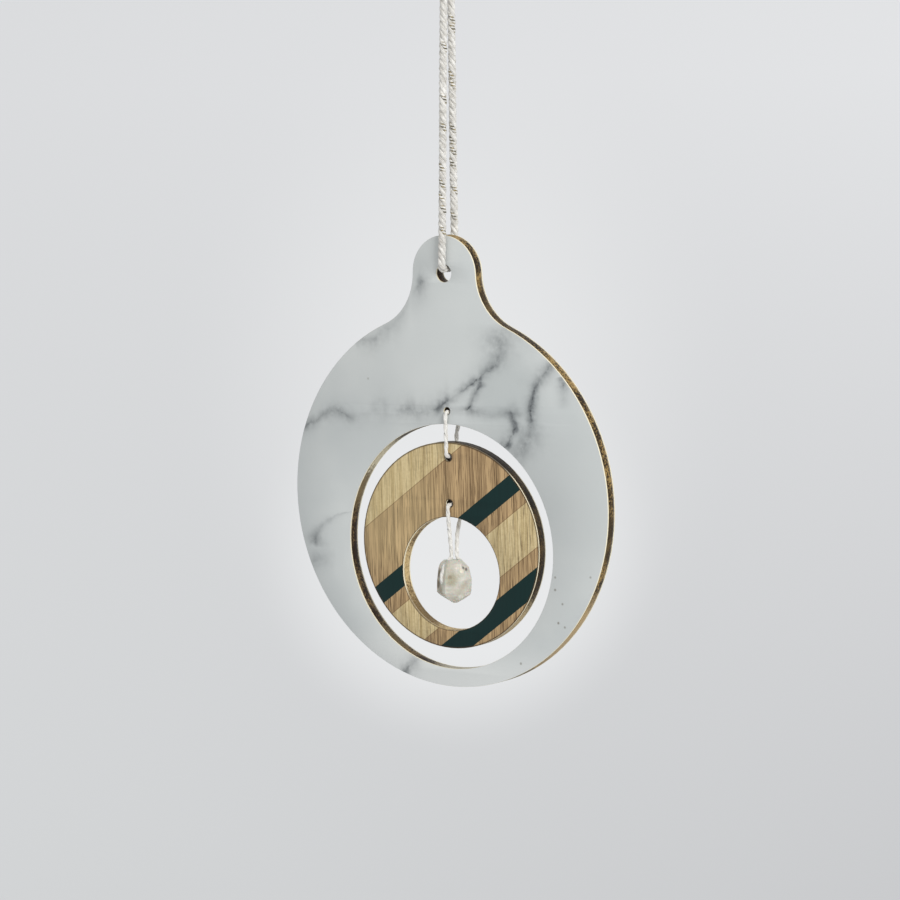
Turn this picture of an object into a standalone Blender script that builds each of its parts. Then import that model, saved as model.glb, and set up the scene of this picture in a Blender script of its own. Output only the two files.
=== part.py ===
"""Hanging ornament: a marble-faced disc with a neck, an oak ring in it, and a quartz crystal in the ring.

Units are metres, +Z is up, and the front faces look towards -Y.
The origin is where a hook bears, inside the top of the hanging loop.
Everything below hangs from there: the cord, the plate, the ring on its thread, the crystal on its thread.
"""

import math

import bmesh
import bpy
from mathutils import Vector

# Every board is a brown core with one thin facing glued on each side
CORE_THICKNESS = 0.0022
FACE_THICKNESS = 0.0006
GLUE_LINE = 0.00005

# Outer plate: a disc, a round-topped neck above it, and a low round opening
DISC_RADIUS = 0.0500
NECK_RADIUS = 0.0100
NECK_STANDOUT = 0.0100
NECK_FILLET_RADIUS = 0.0152
OPENING_RADIUS = 0.03265
PLATE_RIM = 0.0048
PLATE_WEB = 0.0035
CORD_HOLE_RADIUS = 0.0024

# Middle ring, which hangs in the opening with room to turn
RING_SIDE_GAP = 0.00515
RING_TOP_GAP = 0.0048
RING_HOLE_RADIUS = 0.01515
RING_RIM = 0.0048
RING_TOP_WEB = 0.0040
RING_LOW_WEB = 0.0036
RING_REST_TURN_DEG = 2.2

# Quartz crystal: flattened, with a broad face to the front, drilled through its two side edges for its thread
CRYSTAL_TOP_GAP = 0.0117
CRYSTAL_HEIGHT = 0.0114
CRYSTAL_WIDTH = 0.0078
CRYSTAL_DEPTH = 0.0056
CRYSTAL_FACE_WIDTH = 0.0056
CRYSTAL_REST_TURN_DEG = 32.8
CRYSTAL_BORE_RADIUS = 0.00075
CRYSTAL_BORE_DROP = 0.0062

# Cord, threads and the small clearance that they keep to what carries them
CORD_DIAMETER = 0.0020
CORD_DROP = 0.0850
THREAD_DIAMETER = 0.00110
THREAD_HOLE_RADIUS = 0.00105
SEAT_GAP = 0.00015
TURN_GAP = 0.00012
STRANDS_MEET = 0.00070
KNOT_RISE = 0.00105

# Knots: how many turns each has and how long the cut tails are
THREAD_KNOT_TURNS = 2
CORD_KNOT_TURNS = 2.5
CORD_KNOT_BASE = 0.0030
CORD_KNOT_STRAND_OFFSET = 0.00106
THREAD_TAIL = 0.0022

# Largest distance between a true arc and the straight edges that stand for it
ARC_TOLERANCE = 0.00002

# The cord's route, chosen by hand: cut end, knot, hook eye, and down the front to the middle of the hole
# The rear strand is the same route with y turned round
CORD_FRONT_ROUTE = [
    (0.00070, -0.00230, 0.01240),
    (0.00035, -0.00150, 0.01100),
    (0.00010, -0.00108, 0.00930),
    (0.00000, -0.00106, 0.00560),
    (0.00000, -0.00109, 0.00240),
    (0.00005, -0.00162, 0.00020),
    (0.00020, -0.00224, -0.00210),
    (0.00062, -0.00228, -0.00460),
    (0.00124, -0.00200, -0.00760),
    (0.00178, -0.00176, -0.01060),
    (0.00203, -0.00170, -0.01300),
    (0.00199, -0.00174, -0.01480),
    (0.00167, -0.00204, -0.02910),
    (0.00128, -0.00224, -0.04470),
    (0.00093, -0.00248, -0.06040),
    (0.00064, -0.00280, -0.07360),
    (0.00054, -0.00292, -0.07800),
    (0.00038, -0.00292, -0.08120),
    (0.00022, -0.00289, -0.08260),
    (0.00012, -0.00258, -0.08342),
    (0.00006, -0.00176, -0.08375),
    (0.00000, 0.00000, -0.08376),
]

# Crystal outline: share of the height from the top, and share of its full width and depth
CRYSTAL_PROFILE = [(0.0, 0.46), (0.07, 0.80), (0.22, 0.96), (0.56, 1.0), (0.78, 0.93), (1.0, 0.18)]
# The three pairs of opposite corners stand out by unlike amounts, as grown crystals do
CRYSTAL_CORNER_SHARES = [1.00, 0.95, 1.03]

# Heights and radii that follow from the sizes above
HALF_BOARD = CORE_THICKNESS / 2 + GLUE_LINE + FACE_THICKNESS
RING_RADIUS = OPENING_RADIUS - RING_SIDE_GAP
CORD_HOLE_Z = -CORD_DROP
DISC_Z = CORD_HOLE_Z - DISC_RADIUS - NECK_STANDOUT
OPENING_Z = DISC_Z - DISC_RADIUS + PLATE_RIM + OPENING_RADIUS
OPENING_TOP_Z = OPENING_Z + OPENING_RADIUS
PLATE_THREAD_HOLE_Z = OPENING_TOP_Z + PLATE_WEB
RING_TOP_Z = OPENING_TOP_Z - RING_TOP_GAP
RING_Z = RING_TOP_Z - RING_RADIUS
RING_HOLE_Z = RING_Z - RING_RADIUS + RING_RIM + RING_HOLE_RADIUS
RING_HOLE_TOP_Z = RING_HOLE_Z + RING_HOLE_RADIUS
RING_TOP_THREAD_HOLE_Z = RING_TOP_Z - RING_TOP_WEB
RING_LOW_THREAD_HOLE_Z = RING_HOLE_TOP_Z + RING_LOW_WEB
CRYSTAL_TOP_Z = RING_HOLE_TOP_Z - CRYSTAL_TOP_GAP
CRYSTAL_BORE_Z = CRYSTAL_TOP_Z - CRYSTAL_BORE_DROP

THREAD_RADIUS = THREAD_DIAMETER / 2
THREAD_SEAT = THREAD_RADIUS + SEAT_GAP
THREAD_KNOT_RADIUS = THREAD_DIAMETER + TURN_GAP
THREAD_KNOT_PITCH = THREAD_DIAMETER + TURN_GAP
CRYSTAL_CORNERS = [
    (CRYSTAL_WIDTH / 2, 0.0),
    (CRYSTAL_FACE_WIDTH / 2, CRYSTAL_DEPTH / 2),
    (-CRYSTAL_FACE_WIDTH / 2, CRYSTAL_DEPTH / 2),
    (-CRYSTAL_WIDTH / 2, 0.0),
    (-CRYSTAL_FACE_WIDTH / 2, -CRYSTAL_DEPTH / 2),
    (CRYSTAL_FACE_WIDTH / 2, -CRYSTAL_DEPTH / 2),
]


def clear_scene():
    """Empty the scene, so that the script can be run again."""
    for old in list(bpy.data.objects):
        bpy.data.objects.remove(old, do_unlink=True)


def new_collection(name):
    """Make a collection under the scene, in place of one that has its name."""
    old = bpy.data.collections.get(name)
    if old is not None:
        bpy.data.collections.remove(old)
    collection = bpy.data.collections.new(name)
    bpy.context.scene.collection.children.link(collection)
    return collection


def new_material(name, colour, roughness, metallic=0.0):
    """A Principled material with one colour."""
    material = bpy.data.materials.new(name)
    material.use_nodes = True
    shader = material.node_tree.nodes["Principled BSDF"]
    shader.inputs["Base Color"].default_value = (*colour, 1.0)
    shader.inputs["Roughness"].default_value = roughness
    shader.inputs["Metallic"].default_value = metallic
    material.diffuse_color = (*colour, 1.0)
    return material


def add_pivot(name, height, collection, above=None, turn_deg=0.0):
    """An empty on the axis that a body turns about, hung on the pivot above it."""
    pivot = bpy.data.objects.new(name, None)
    pivot["height"] = height
    pivot.parent = above
    pivot.location = (0.0, 0.0, height - (above["height"] if above else 0.0))
    pivot.rotation_euler = (0.0, 0.0, math.radians(turn_deg))
    pivot.empty_display_size = 0.005
    collection.objects.link(pivot)
    return pivot


def from_pivot(place, pivot):
    """A place measured from its pivot instead of from the origin."""
    return Vector(place) - Vector((0.0, 0.0, pivot["height"]))


def hang_on(piece, pivot, place):
    """Parent a piece to a pivot and put its own origin at a place."""
    piece.parent = pivot
    piece.location = from_pivot(place, pivot)


def arc(centre, radius, start_deg, end_deg):
    """Points along an arc, fine enough for ARC_TOLERANCE, without the last one."""
    largest_step = 2 * math.acos(1 - ARC_TOLERANCE / radius)
    sweep = math.radians(end_deg - start_deg)
    steps = max(2, math.ceil(abs(sweep) / largest_step))
    angles = [math.radians(start_deg) + sweep * i / steps for i in range(steps)]
    return [(centre[0] + radius * math.cos(a), centre[1] + radius * math.sin(a)) for a in angles]


def circle(height, radius):
    """A whole circle on the board's centre line."""
    return arc((0.0, height), radius, 0, 360)


def plate_outline():
    """Disc and neck joined by a hollow fillet on each side, seen from the front, disc centre at 0, 0."""
    neck_rise = DISC_RADIUS + NECK_STANDOUT
    disc_reach = DISC_RADIUS + NECK_FILLET_RADIUS
    neck_reach = NECK_RADIUS + NECK_FILLET_RADIUS
    fillet_z = (disc_reach**2 - neck_reach**2 + neck_rise**2) / (2 * neck_rise)
    fillet_x = math.sqrt(disc_reach**2 - fillet_z**2)
    on_disc = math.degrees(math.atan2(fillet_z, fillet_x))
    on_neck = math.degrees(math.atan2(fillet_z - neck_rise, fillet_x))
    right = arc((0.0, 0.0), DISC_RADIUS, -90, on_disc)
    right += arc((fillet_x, fillet_z), NECK_FILLET_RADIUS, 180 + on_disc, 180 + on_neck)
    right += arc((0.0, neck_rise), NECK_RADIUS, on_neck, 90)
    left = [(-x, z) for x, z in reversed(right[1:])]
    return right + [(0.0, neck_rise + NECK_RADIUS)] + left


def add_board(name, outlines, thickness, depth, material, collection):
    """A flat board cut to its outlines, standing in the XZ plane with its middle at y = depth."""
    curve = bpy.data.curves.new(name, "CURVE")
    curve.dimensions = "2D"
    curve.fill_mode = "BOTH"
    curve.extrude = thickness / 2
    for outline in outlines:
        spline = curve.splines.new("POLY")
        spline.points.add(len(outline) - 1)
        for point, (x, z) in zip(spline.points, outline):
            point.co = (x, z, 0.0, 1.0)
        spline.use_cyclic_u = True
    curve.materials.append(material)
    board = bpy.data.objects.new(name, curve)
    board.rotation_euler = (math.pi / 2, 0.0, 0.0)
    board["depth"] = depth
    collection.objects.link(board)
    return board


def add_laminate(prefix, face_word, outlines, height, pivot, core_material, face_material, collection):
    """Core and two facings of one cut shape, hung on their pivot."""
    face_depth = CORE_THICKNESS / 2 + GLUE_LINE + FACE_THICKNESS / 2
    layers = [
        (prefix + "_core", CORE_THICKNESS, 0.0, core_material),
        (prefix + "_front_" + face_word, FACE_THICKNESS, -face_depth, face_material),
        (prefix + "_back_" + face_word, FACE_THICKNESS, face_depth, face_material),
    ]
    for name, thickness, depth, material in layers:
        board = add_board(name, outlines, thickness, depth, material, collection)
        hang_on(board, pivot, (0.0, depth, height))


def smooth_route(route, spacing, closed=False):
    """Points along a smooth curve through the route's points, at least one for each of them."""
    points = [Vector(p) for p in route]
    count = len(points)
    if closed:
        padded = [points[-1]] + points + points[:2]
        spans = count
    else:
        padded = [2 * points[0] - points[1]] + points + [2 * points[-1] - points[-2]]
        spans = count - 1
    result = []
    for i in range(spans):
        p0, p1, p2, p3 = padded[i:i + 4]
        knots = [0.0]
        for a, b in ((p0, p1), (p1, p2), (p2, p3)):
            knots.append(knots[-1] + math.sqrt((b - a).length))
        steps = max(1, round((p2 - p1).length / spacing))
        for step in range(steps):
            t = knots[1] + (knots[2] - knots[1]) * step / steps
            result.append(centripetal_point((p0, p1, p2, p3), knots, t))
    if not closed:
        result.append(points[-1])
    return result


def centripetal_point(controls, knots, t):
    """One point of a centripetal Catmull-Rom curve, by repeated blending of its four controls."""
    blend = list(controls)
    for level in (1, 2, 3):
        for i in range(4 - level):
            low = knots[i] if level < 3 else knots[1]
            high = knots[i + level] if level < 3 else knots[2]
            blend[i] = blend[i].lerp(blend[i + 1], (t - low) / (high - low))
    return blend[0]


def add_tube(name, points, diameter, material, pivot, collection, closed=False, resolution=2):
    """A round cord along points in world coordinates, parented to its pivot."""
    curve = bpy.data.curves.new(name, "CURVE")
    curve.dimensions = "3D"
    curve.bevel_depth = diameter / 2
    curve.bevel_resolution = resolution
    curve.use_fill_caps = not closed
    spline = curve.splines.new("POLY")
    spline.points.add(len(points) - 1)
    for point, place in zip(spline.points, points):
        point.co = (*from_pivot(place, pivot), 1.0)
    spline.use_cyclic_u = closed
    curve.materials.append(material)
    tube = bpy.data.objects.new(name, curve)
    collection.objects.link(tube)
    tube.parent = pivot
    return tube


def add_hanging_cord(material, pivot, collection):
    """One unbroken cord: cut end, knot, hook eye, front strand, hole, rear strand, and back up."""
    rear = [(x, -y, z) for x, y, z in reversed(CORD_FRONT_ROUTE[:-1])]
    points = smooth_route(CORD_FRONT_ROUTE + rear, 2.5 * CORD_DIAMETER)
    return add_tube("hanging_cord", points, CORD_DIAMETER, material, pivot, collection)


def add_cord_knot(material, pivot, collection):
    """The knot above the hook eye: turns of the cord drawn tight round its two strands."""
    steps_in_half = 9
    reach = CORD_DIAMETER + TURN_GAP
    pitch = CORD_DIAMETER + TURN_GAP
    points = []
    for half in range(round(CORD_KNOT_TURNS * 2)):
        strand_y = CORD_KNOT_STRAND_OFFSET * (-1) ** half
        for step in range(steps_in_half):
            share = step / (steps_in_half - 1)
            angle = math.pi * (half - 0.5 + share)
            turn = (half + share * 0.86 + 0.07) / 2
            points.append((reach * math.sin(angle), strand_y + reach * math.cos(angle), CORD_KNOT_BASE + pitch * turn))
    return add_tube("cord_knot", points, CORD_DIAMETER, material, pivot, collection)


def front_of_web(hole_z, side=-1):
    """From the middle of a hole out of it and down a board's face, where a hanging thread bears below."""
    bearing = hole_z - THREAD_HOLE_RADIUS + THREAD_SEAT
    face = HALF_BOARD + THREAD_SEAT
    bend = THREAD_SEAT / math.sqrt(2)
    edge_z = hole_z - THREAD_HOLE_RADIUS
    return [
        (0.0, 0.0, bearing),
        (0.0, side * HALF_BOARD, bearing),
        (0.0, side * (HALF_BOARD + bend), edge_z + bend),
        (0.0, side * face, edge_z),
    ]


def back_of_web(web_foot_z, hole_z):
    """From below a web up its back face to the hole, standing out where the thread's knot lies."""
    face = HALF_BOARD + THREAD_SEAT
    knot_y = knot_depth()
    knot_z = web_foot_z + KNOT_RISE
    half_knot = THREAD_KNOT_PITCH * THREAD_KNOT_TURNS / 2
    bearing = hole_z - THREAD_HOLE_RADIUS + THREAD_SEAT
    return [
        (0.0, face, knot_z - 3.4 * half_knot),
        (0.0, (face + knot_y) / 2, knot_z - 2.1 * half_knot),
        (0.0, knot_y, knot_z - half_knot),
        (0.0, knot_y, knot_z),
        (0.0, knot_y, knot_z + half_knot / 2),
        (0.0, (2 * knot_y + HALF_BOARD) / 3, bearing - THREAD_RADIUS / 2),
        (0.0, HALF_BOARD + THREAD_RADIUS, bearing),
    ]


def knot_depth():
    """How far behind the mid-plane a thread's knot lies against a board's back."""
    return HALF_BOARD + SEAT_GAP + THREAD_KNOT_RADIUS + THREAD_RADIUS


def add_thread_knot(name, web_foot_z, material, pivot, collection):
    """Turns round the rear strand, with a cut tail to each side."""
    steps_in_turn = 12
    centre_y = knot_depth()
    height = THREAD_KNOT_PITCH * THREAD_KNOT_TURNS
    base_z = web_foot_z + KNOT_RISE - height / 2
    turns = []
    for step in range(THREAD_KNOT_TURNS * steps_in_turn + 1):
        turn = step / steps_in_turn
        angle = 2 * math.pi * turn
        x = THREAD_KNOT_RADIUS * math.sin(angle)
        y = centre_y + THREAD_KNOT_RADIUS * math.cos(angle)
        turns.append((x, y, base_z + THREAD_KNOT_PITCH * turn))
    back = centre_y + THREAD_KNOT_RADIUS
    tail_in = [(-THREAD_TAIL, back - THREAD_RADIUS, base_z + THREAD_RADIUS / 2), (-THREAD_TAIL / 2, back, base_z)]
    tail_out = [
        (THREAD_TAIL / 2, back, base_z + height),
        (THREAD_TAIL, back - THREAD_RADIUS, base_z + height - THREAD_RADIUS),
    ]
    return add_tube(name, tail_in + turns + tail_out, THREAD_DIAMETER, material, pivot, collection)


def add_ring_thread(material, pivot, collection):
    """A closed loop of thread round the plate's web and the ring's top web."""
    face = HALF_BOARD + THREAD_SEAT
    low_edge = RING_TOP_THREAD_HOLE_Z + THREAD_HOLE_RADIUS
    low_bearing = low_edge - THREAD_SEAT
    bend = THREAD_SEAT / math.sqrt(2)
    through_ring = [
        (0.0, -face, RING_TOP_Z),
        (0.0, -face, low_edge),
        (0.0, -HALF_BOARD - bend, low_edge - bend),
        (0.0, -HALF_BOARD, low_bearing),
        (0.0, 0.0, low_bearing),
        (0.0, HALF_BOARD, low_bearing),
        (0.0, HALF_BOARD + bend, low_edge - bend),
        (0.0, face, low_edge),
        (0.0, face, RING_TOP_Z),
    ]
    route = front_of_web(PLATE_THREAD_HOLE_Z) + through_ring + back_of_web(OPENING_TOP_Z, PLATE_THREAD_HOLE_Z)
    points = smooth_route(route, 2.5 * THREAD_DIAMETER, closed=True)
    return add_tube("ring_thread", points, THREAD_DIAMETER, material, pivot, collection, closed=True)


def crystal_rows():
    """Heights of the crystal's rows of corners, from the top, with half its width there."""
    half = CRYSTAL_WIDTH / 2 * CRYSTAL_CORNER_SHARES[0]
    return [(CRYSTAL_TOP_Z - CRYSTAL_HEIGHT * down, half * share) for down, share in CRYSTAL_PROFILE]


def turned_as_crystal(x, y, z):
    """A point turned about the vertical by as much as the crystal hangs turned in the ring."""
    turn = math.radians(CRYSTAL_REST_TURN_DEG)
    return (x * math.cos(turn) - y * math.sin(turn), x * math.sin(turn) + y * math.cos(turn), z)


def over_shoulder(side):
    """From the crystal's bore up its side edge and over its shoulder to where the two strands come together."""
    rows = crystal_rows()
    reach = THREAD_SEAT + SEAT_GAP
    bore_half = rows[3][1]
    route = [
        (bore_half - THREAD_RADIUS, 0.0, CRYSTAL_BORE_Z),
        (bore_half + reach * 0.75, 0.0, CRYSTAL_BORE_Z + reach * 0.35),
        (bore_half + reach, 0.0, CRYSTAL_BORE_Z + 2 * reach),
    ]
    for i in (2, 1):
        z, half = rows[i]
        z_low, half_low = rows[i + 1]
        z_high, half_high = rows[i - 1]
        along = Vector((half_high - half_low, z_high - z_low)).normalized()
        out = Vector((along.y, -along.x))
        route.append((half + reach * out.x, 0.0, z + reach * out.y))
    route.append((rows[0][1] + reach * 0.35, 0.0, CRYSTAL_TOP_Z + reach * 0.85))
    route.append((STRANDS_MEET * 1.25, 0.0, CRYSTAL_TOP_Z + reach * 1.45))
    return [turned_as_crystal(side * x, side * y, z) for x, y, z in route]


def add_crystal_thread(material, pivot, collection):
    """A closed loop of thread through the ring's low hole, down to the crystal and through its bore."""
    face = HALF_BOARD + THREAD_SEAT
    near_x, near_y, near_z = turned_as_crystal(-STRANDS_MEET, 0.0, CRYSTAL_TOP_Z + 3.2 * THREAD_SEAT)
    rise = RING_HOLE_TOP_Z - near_z
    front = []
    for share in (1.0, 0.75, 0.5, 0.25, 0.0):
        front.append((near_x * (1 - share), near_y * (1 - share) - face * share, near_z + rise * share))
    rear = [(-x, -y, z) for x, y, z in reversed(front[2:])]
    left = list(reversed(over_shoulder(-1)))
    route = front_of_web(RING_LOW_THREAD_HOLE_Z) + front + left + [(0.0, 0.0, CRYSTAL_BORE_Z)]
    route += over_shoulder(1) + rear + back_of_web(RING_HOLE_TOP_Z, RING_LOW_THREAD_HOLE_Z)
    points = smooth_route(route, 2.5 * THREAD_DIAMETER, closed=True)
    return add_tube("crystal_thread", points, THREAD_DIAMETER, material, pivot, collection, closed=True)


def add_crystal(material, pivot, collection, cutters):
    """A short, flattened six-sided crystal with a blunt top, a pointed foot and a bore through its side edges."""
    mesh = bpy.data.meshes.new("quartz_crystal")
    body = bmesh.new()
    for down, share in CRYSTAL_PROFILE:
        for corner, (x, y) in enumerate(CRYSTAL_CORNERS):
            scale = share * CRYSTAL_CORNER_SHARES[corner % 3]
            body.verts.new(turned_as_crystal(x * scale, y * scale, -CRYSTAL_HEIGHT * down))
    hull = bmesh.ops.convex_hull(body, input=body.verts)
    loose = [v for v in hull["geom_interior"] + hull["geom_unused"] if isinstance(v, bmesh.types.BMVert)]
    bmesh.ops.delete(body, geom=loose, context="VERTS")
    bmesh.ops.recalc_face_normals(body, faces=body.faces)
    body.to_mesh(mesh)
    body.free()
    mesh.materials.append(material)
    crystal = bpy.data.objects.new("quartz_crystal", mesh)
    collection.objects.link(crystal)
    hang_on(crystal, pivot, (0.0, 0.0, CRYSTAL_TOP_Z))

    bpy.ops.mesh.primitive_cylinder_add(
        vertices=16, radius=CRYSTAL_BORE_RADIUS, depth=2 * CRYSTAL_WIDTH,
        location=(0.0, 0.0, CRYSTAL_BORE_Z),
        rotation=(0.0, math.pi / 2, math.radians(RING_REST_TURN_DEG + CRYSTAL_REST_TURN_DEG)))
    drill = bpy.context.object
    drill.name = "crystal_bore_cutter"
    drill.hide_render = True
    drill.display_type = "WIRE"
    for owner in list(drill.users_collection):
        owner.objects.unlink(drill)
    cutters.objects.link(drill)

    bore = crystal.modifiers.new("bore", "BOOLEAN")
    bore.operation = "DIFFERENCE"
    bore.solver = "EXACT"
    bore.object = drill
    return crystal


def build():
    """Make every piece of the ornament."""
    clear_scene()
    pieces = new_collection("marble_disc_ornament")
    cutters = new_collection("cutters")

    board = new_material("burnt_board", (0.060, 0.042, 0.030), 0.7)
    marble = new_material("white_marble", (0.62, 0.64, 0.62), 0.35)
    oak = new_material("oak_veneer", (0.36, 0.26, 0.16), 0.5)
    quartz = new_material("milky_quartz", (0.68, 0.66, 0.58), 0.2)
    cotton = new_material("gold_flecked_cotton", (0.72, 0.70, 0.62), 0.8)
    thread = new_material("white_thread", (0.75, 0.74, 0.69), 0.8)

    loop_pivot = add_pivot("loop_pivot", 0.0, pieces)
    cord_pivot = add_pivot("cord_pivot", CORD_HOLE_Z + CORD_HOLE_RADIUS - CORD_DIAMETER / 2 - SEAT_GAP, pieces, loop_pivot)
    plate_pivot = add_pivot("plate_pivot", cord_pivot["height"], pieces, cord_pivot)
    ring_thread_pivot = add_pivot("ring_thread_pivot", OPENING_TOP_Z, pieces, plate_pivot)
    ring_pivot = add_pivot("ring_pivot", RING_TOP_Z, pieces, ring_thread_pivot, RING_REST_TURN_DEG)
    crystal_thread_pivot = add_pivot("crystal_thread_pivot", RING_HOLE_TOP_Z, pieces, ring_pivot)
    crystal_pivot = add_pivot("crystal_pivot", CRYSTAL_TOP_Z, pieces, crystal_thread_pivot)

    plate_shape = [
        plate_outline(),
        circle(OPENING_Z - DISC_Z, OPENING_RADIUS),
        circle(CORD_HOLE_Z - DISC_Z, CORD_HOLE_RADIUS),
        circle(PLATE_THREAD_HOLE_Z - DISC_Z, THREAD_HOLE_RADIUS),
    ]
    add_laminate("plate", "marble", plate_shape, DISC_Z, plate_pivot, board, marble, pieces)

    ring_shape = [
        circle(0.0, RING_RADIUS),
        circle(RING_HOLE_Z - RING_Z, RING_HOLE_RADIUS),
        circle(RING_TOP_THREAD_HOLE_Z - RING_Z, THREAD_HOLE_RADIUS),
        circle(RING_LOW_THREAD_HOLE_Z - RING_Z, THREAD_HOLE_RADIUS),
    ]
    add_laminate("ring", "veneer", ring_shape, RING_Z, ring_pivot, board, oak, pieces)

    add_hanging_cord(cotton, cord_pivot, pieces)
    add_cord_knot(cotton, loop_pivot, pieces)
    add_ring_thread(thread, ring_thread_pivot, pieces)
    add_thread_knot("ring_thread_knot", OPENING_TOP_Z, thread, plate_pivot, pieces)
    add_crystal_thread(thread, crystal_thread_pivot, pieces)
    add_thread_knot("crystal_thread_knot", RING_HOLE_TOP_Z, thread, ring_pivot, pieces)
    add_crystal(quartz, crystal_pivot, pieces, cutters)
    bpy.context.view_layer.update()


build()
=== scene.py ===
# %% [markdown]
# # A marble disc ornament, piece by piece
# The ornament is a flat laminated disc hung by a cord. An oak ring hangs in its opening, and a quartz crystal in
# the ring. The solids come packed, with their joints. This lesson gives them the cord's twist, the stone, the wood,
# the gilding and the light. It starts by loading the solids, which stay where they are.

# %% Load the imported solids
import math

import bmesh
import bpy
import numpy as np
from mathutils import Matrix, Vector


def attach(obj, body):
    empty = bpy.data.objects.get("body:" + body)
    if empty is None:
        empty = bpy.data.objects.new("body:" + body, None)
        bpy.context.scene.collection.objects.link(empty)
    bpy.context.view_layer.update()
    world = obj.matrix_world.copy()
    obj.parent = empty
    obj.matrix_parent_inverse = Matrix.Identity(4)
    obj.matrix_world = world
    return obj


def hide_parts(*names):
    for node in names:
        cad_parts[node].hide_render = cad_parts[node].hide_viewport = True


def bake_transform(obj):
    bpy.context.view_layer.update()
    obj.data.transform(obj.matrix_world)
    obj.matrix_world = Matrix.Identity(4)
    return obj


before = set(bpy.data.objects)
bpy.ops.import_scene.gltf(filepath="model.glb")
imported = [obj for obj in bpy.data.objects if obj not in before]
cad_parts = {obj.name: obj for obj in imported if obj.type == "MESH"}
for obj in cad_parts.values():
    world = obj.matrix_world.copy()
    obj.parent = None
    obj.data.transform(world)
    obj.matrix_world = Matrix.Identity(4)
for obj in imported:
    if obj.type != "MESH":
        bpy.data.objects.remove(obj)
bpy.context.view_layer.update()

MM = 0.001


def new_object(name, data):
    """A new object in the scene."""
    made = bpy.data.objects.new(name, data)
    bpy.context.scene.collection.objects.link(made)
    return made


def finished_mesh(piece):
    """A piece's mesh with its thickness or its modifiers worked in."""
    return bpy.data.meshes.new_from_object(piece.evaluated_get(bpy.context.evaluated_depsgraph_get()))

# %% [markdown]
# ## The camera
# A long lens from about 1.2 m flattens the disc, as in a product photograph. The disc hangs a little crooked on its
# cord in the picture. The solids stand upright, so the camera takes the lean instead. The three turns are written
# in the order in which a tripod makes them.

# %% Camera
LENS_MM = 188
CAMERA_PLACE = Vector((0.70717, -1.00981, 0.01485))
CAMERA_TURN_DEG = 34.851
CAMERA_DROP_DEG = 7.735
PLATE_LEAN_DEG = 1.65

camera_data = bpy.data.cameras.new("camera")
camera_data.lens = LENS_MM
camera_data.sensor_width = 36
camera_data.clip_start = 0.05
camera_data.clip_end = 60
camera = new_object("camera", camera_data)
turns = (
    Matrix.Rotation(math.radians(PLATE_LEAN_DEG), 4, "Y")
    @ Matrix.Rotation(math.radians(CAMERA_TURN_DEG), 4, "Z")
    @ Matrix.Rotation(math.radians(90 - CAMERA_DROP_DEG), 4, "X")
)
camera.matrix_world = Matrix.Translation(CAMERA_PLACE) @ turns
bpy.context.scene.camera = camera
print("camera stands", round(CAMERA_PLACE.length, 3), "m from the hook")

# %% [markdown]
# ## Colours and nodes
# Colours are written as they look on a screen, in hex. Blender's shaders want light values, so one function turns
# them. A material is a small machine of nodes. One short function adds a node, sets it and wires its inputs. The few
# after it are shorter words for the nodes that are used most.


# %% Colour and node helpers
# The share of a soft spot's reach that has its full strength
SPOT_CORE = 0.3


def light_value(hex_colour):
    """An sRGB hex colour as linear RGBA."""
    channels = [int(hex_colour[i:i + 2], 16) / 255 for i in (1, 3, 5)]
    linear = [c / 12.92 if c <= 0.04045 else ((c + 0.055) / 1.055) ** 2.4 for c in channels]
    return (*linear, 1.0)


def add(tree, kind, inputs=None, **settings):
    """Add a node. An input takes a plain value, a node (its first live output) or one output socket."""
    made = tree.nodes.new(kind)
    for name, value in settings.items():
        setattr(made, name, value)
    for key, value in (inputs or {}).items():
        live = [socket for socket in made.inputs if socket.enabled]
        socket = live[key] if isinstance(key, int) else next(s for s in live if s.name == key)
        if isinstance(value, bpy.types.Node):
            value = next(out for out in value.outputs if out.enabled)
        if isinstance(value, bpy.types.NodeSocket):
            tree.links.new(value, socket)
        else:
            socket.default_value = value
    return made


def mix(tree, share, first, second):
    """A mix of two colours, each a hex colour or a node."""
    first, second = (light_value(c) if isinstance(c, str) else c for c in (first, second))
    return add(tree, "ShaderNodeMix", {0: share, 1: first, 2: second}, data_type="RGBA")


def ramp(tree, value, start, end, least=0.0, most=1.0, shape="LINEAR"):
    """A value's range from start to end, stretched to go from least to most and held there."""
    inputs = dict(enumerate((value, start, end, least, most)))
    return add(tree, "ShaderNodeMapRange", inputs, interpolation_type=shape)


def arith(tree, operation, *values, **settings):
    """A sum with numbers."""
    return add(tree, "ShaderNodeMath", dict(enumerate(values)), operation=operation, **settings)


def vector_arith(tree, operation, *values):
    """A sum with places."""
    return add(tree, "ShaderNodeVectorMath", dict(enumerate(values)), operation=operation)


def noise(tree, place, scale, detail=2.0, roughness=0.5, distortion=0.0):
    """Soft random values, mostly 0.3 to 0.7, that change about scale times per unit."""
    inputs = {"Vector": place, "Scale": scale, "Detail": detail, "Roughness": roughness, "Distortion": distortion}
    return add(tree, "ShaderNodeTexNoise", inputs)


def in_mm(tree, turn_deg=0.0, middle_mm=0.0):
    """Places on a piece in mm, from a height on the upright line and turned back by the piece's turn."""
    return add(tree, "ShaderNodeMapping", {
        "Vector": add(tree, "ShaderNodeTexCoord").outputs["Object"], "Rotation": (0, 0, -math.radians(turn_deg)),
        "Scale": (1000, 1000, 1000), "Location": (0, 0, -middle_mm)})


def new_finish(name, **principled):
    """A material with its shader's plain values set, its tree for the patterns, and the shader."""
    material = bpy.data.materials.new(name)
    material.use_nodes = True
    shader = material.node_tree.nodes["Principled BSDF"]
    for key, value in principled.items():
        shader.inputs[key.replace("_", " ")].default_value = value
    return material, material.node_tree, shader


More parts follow.
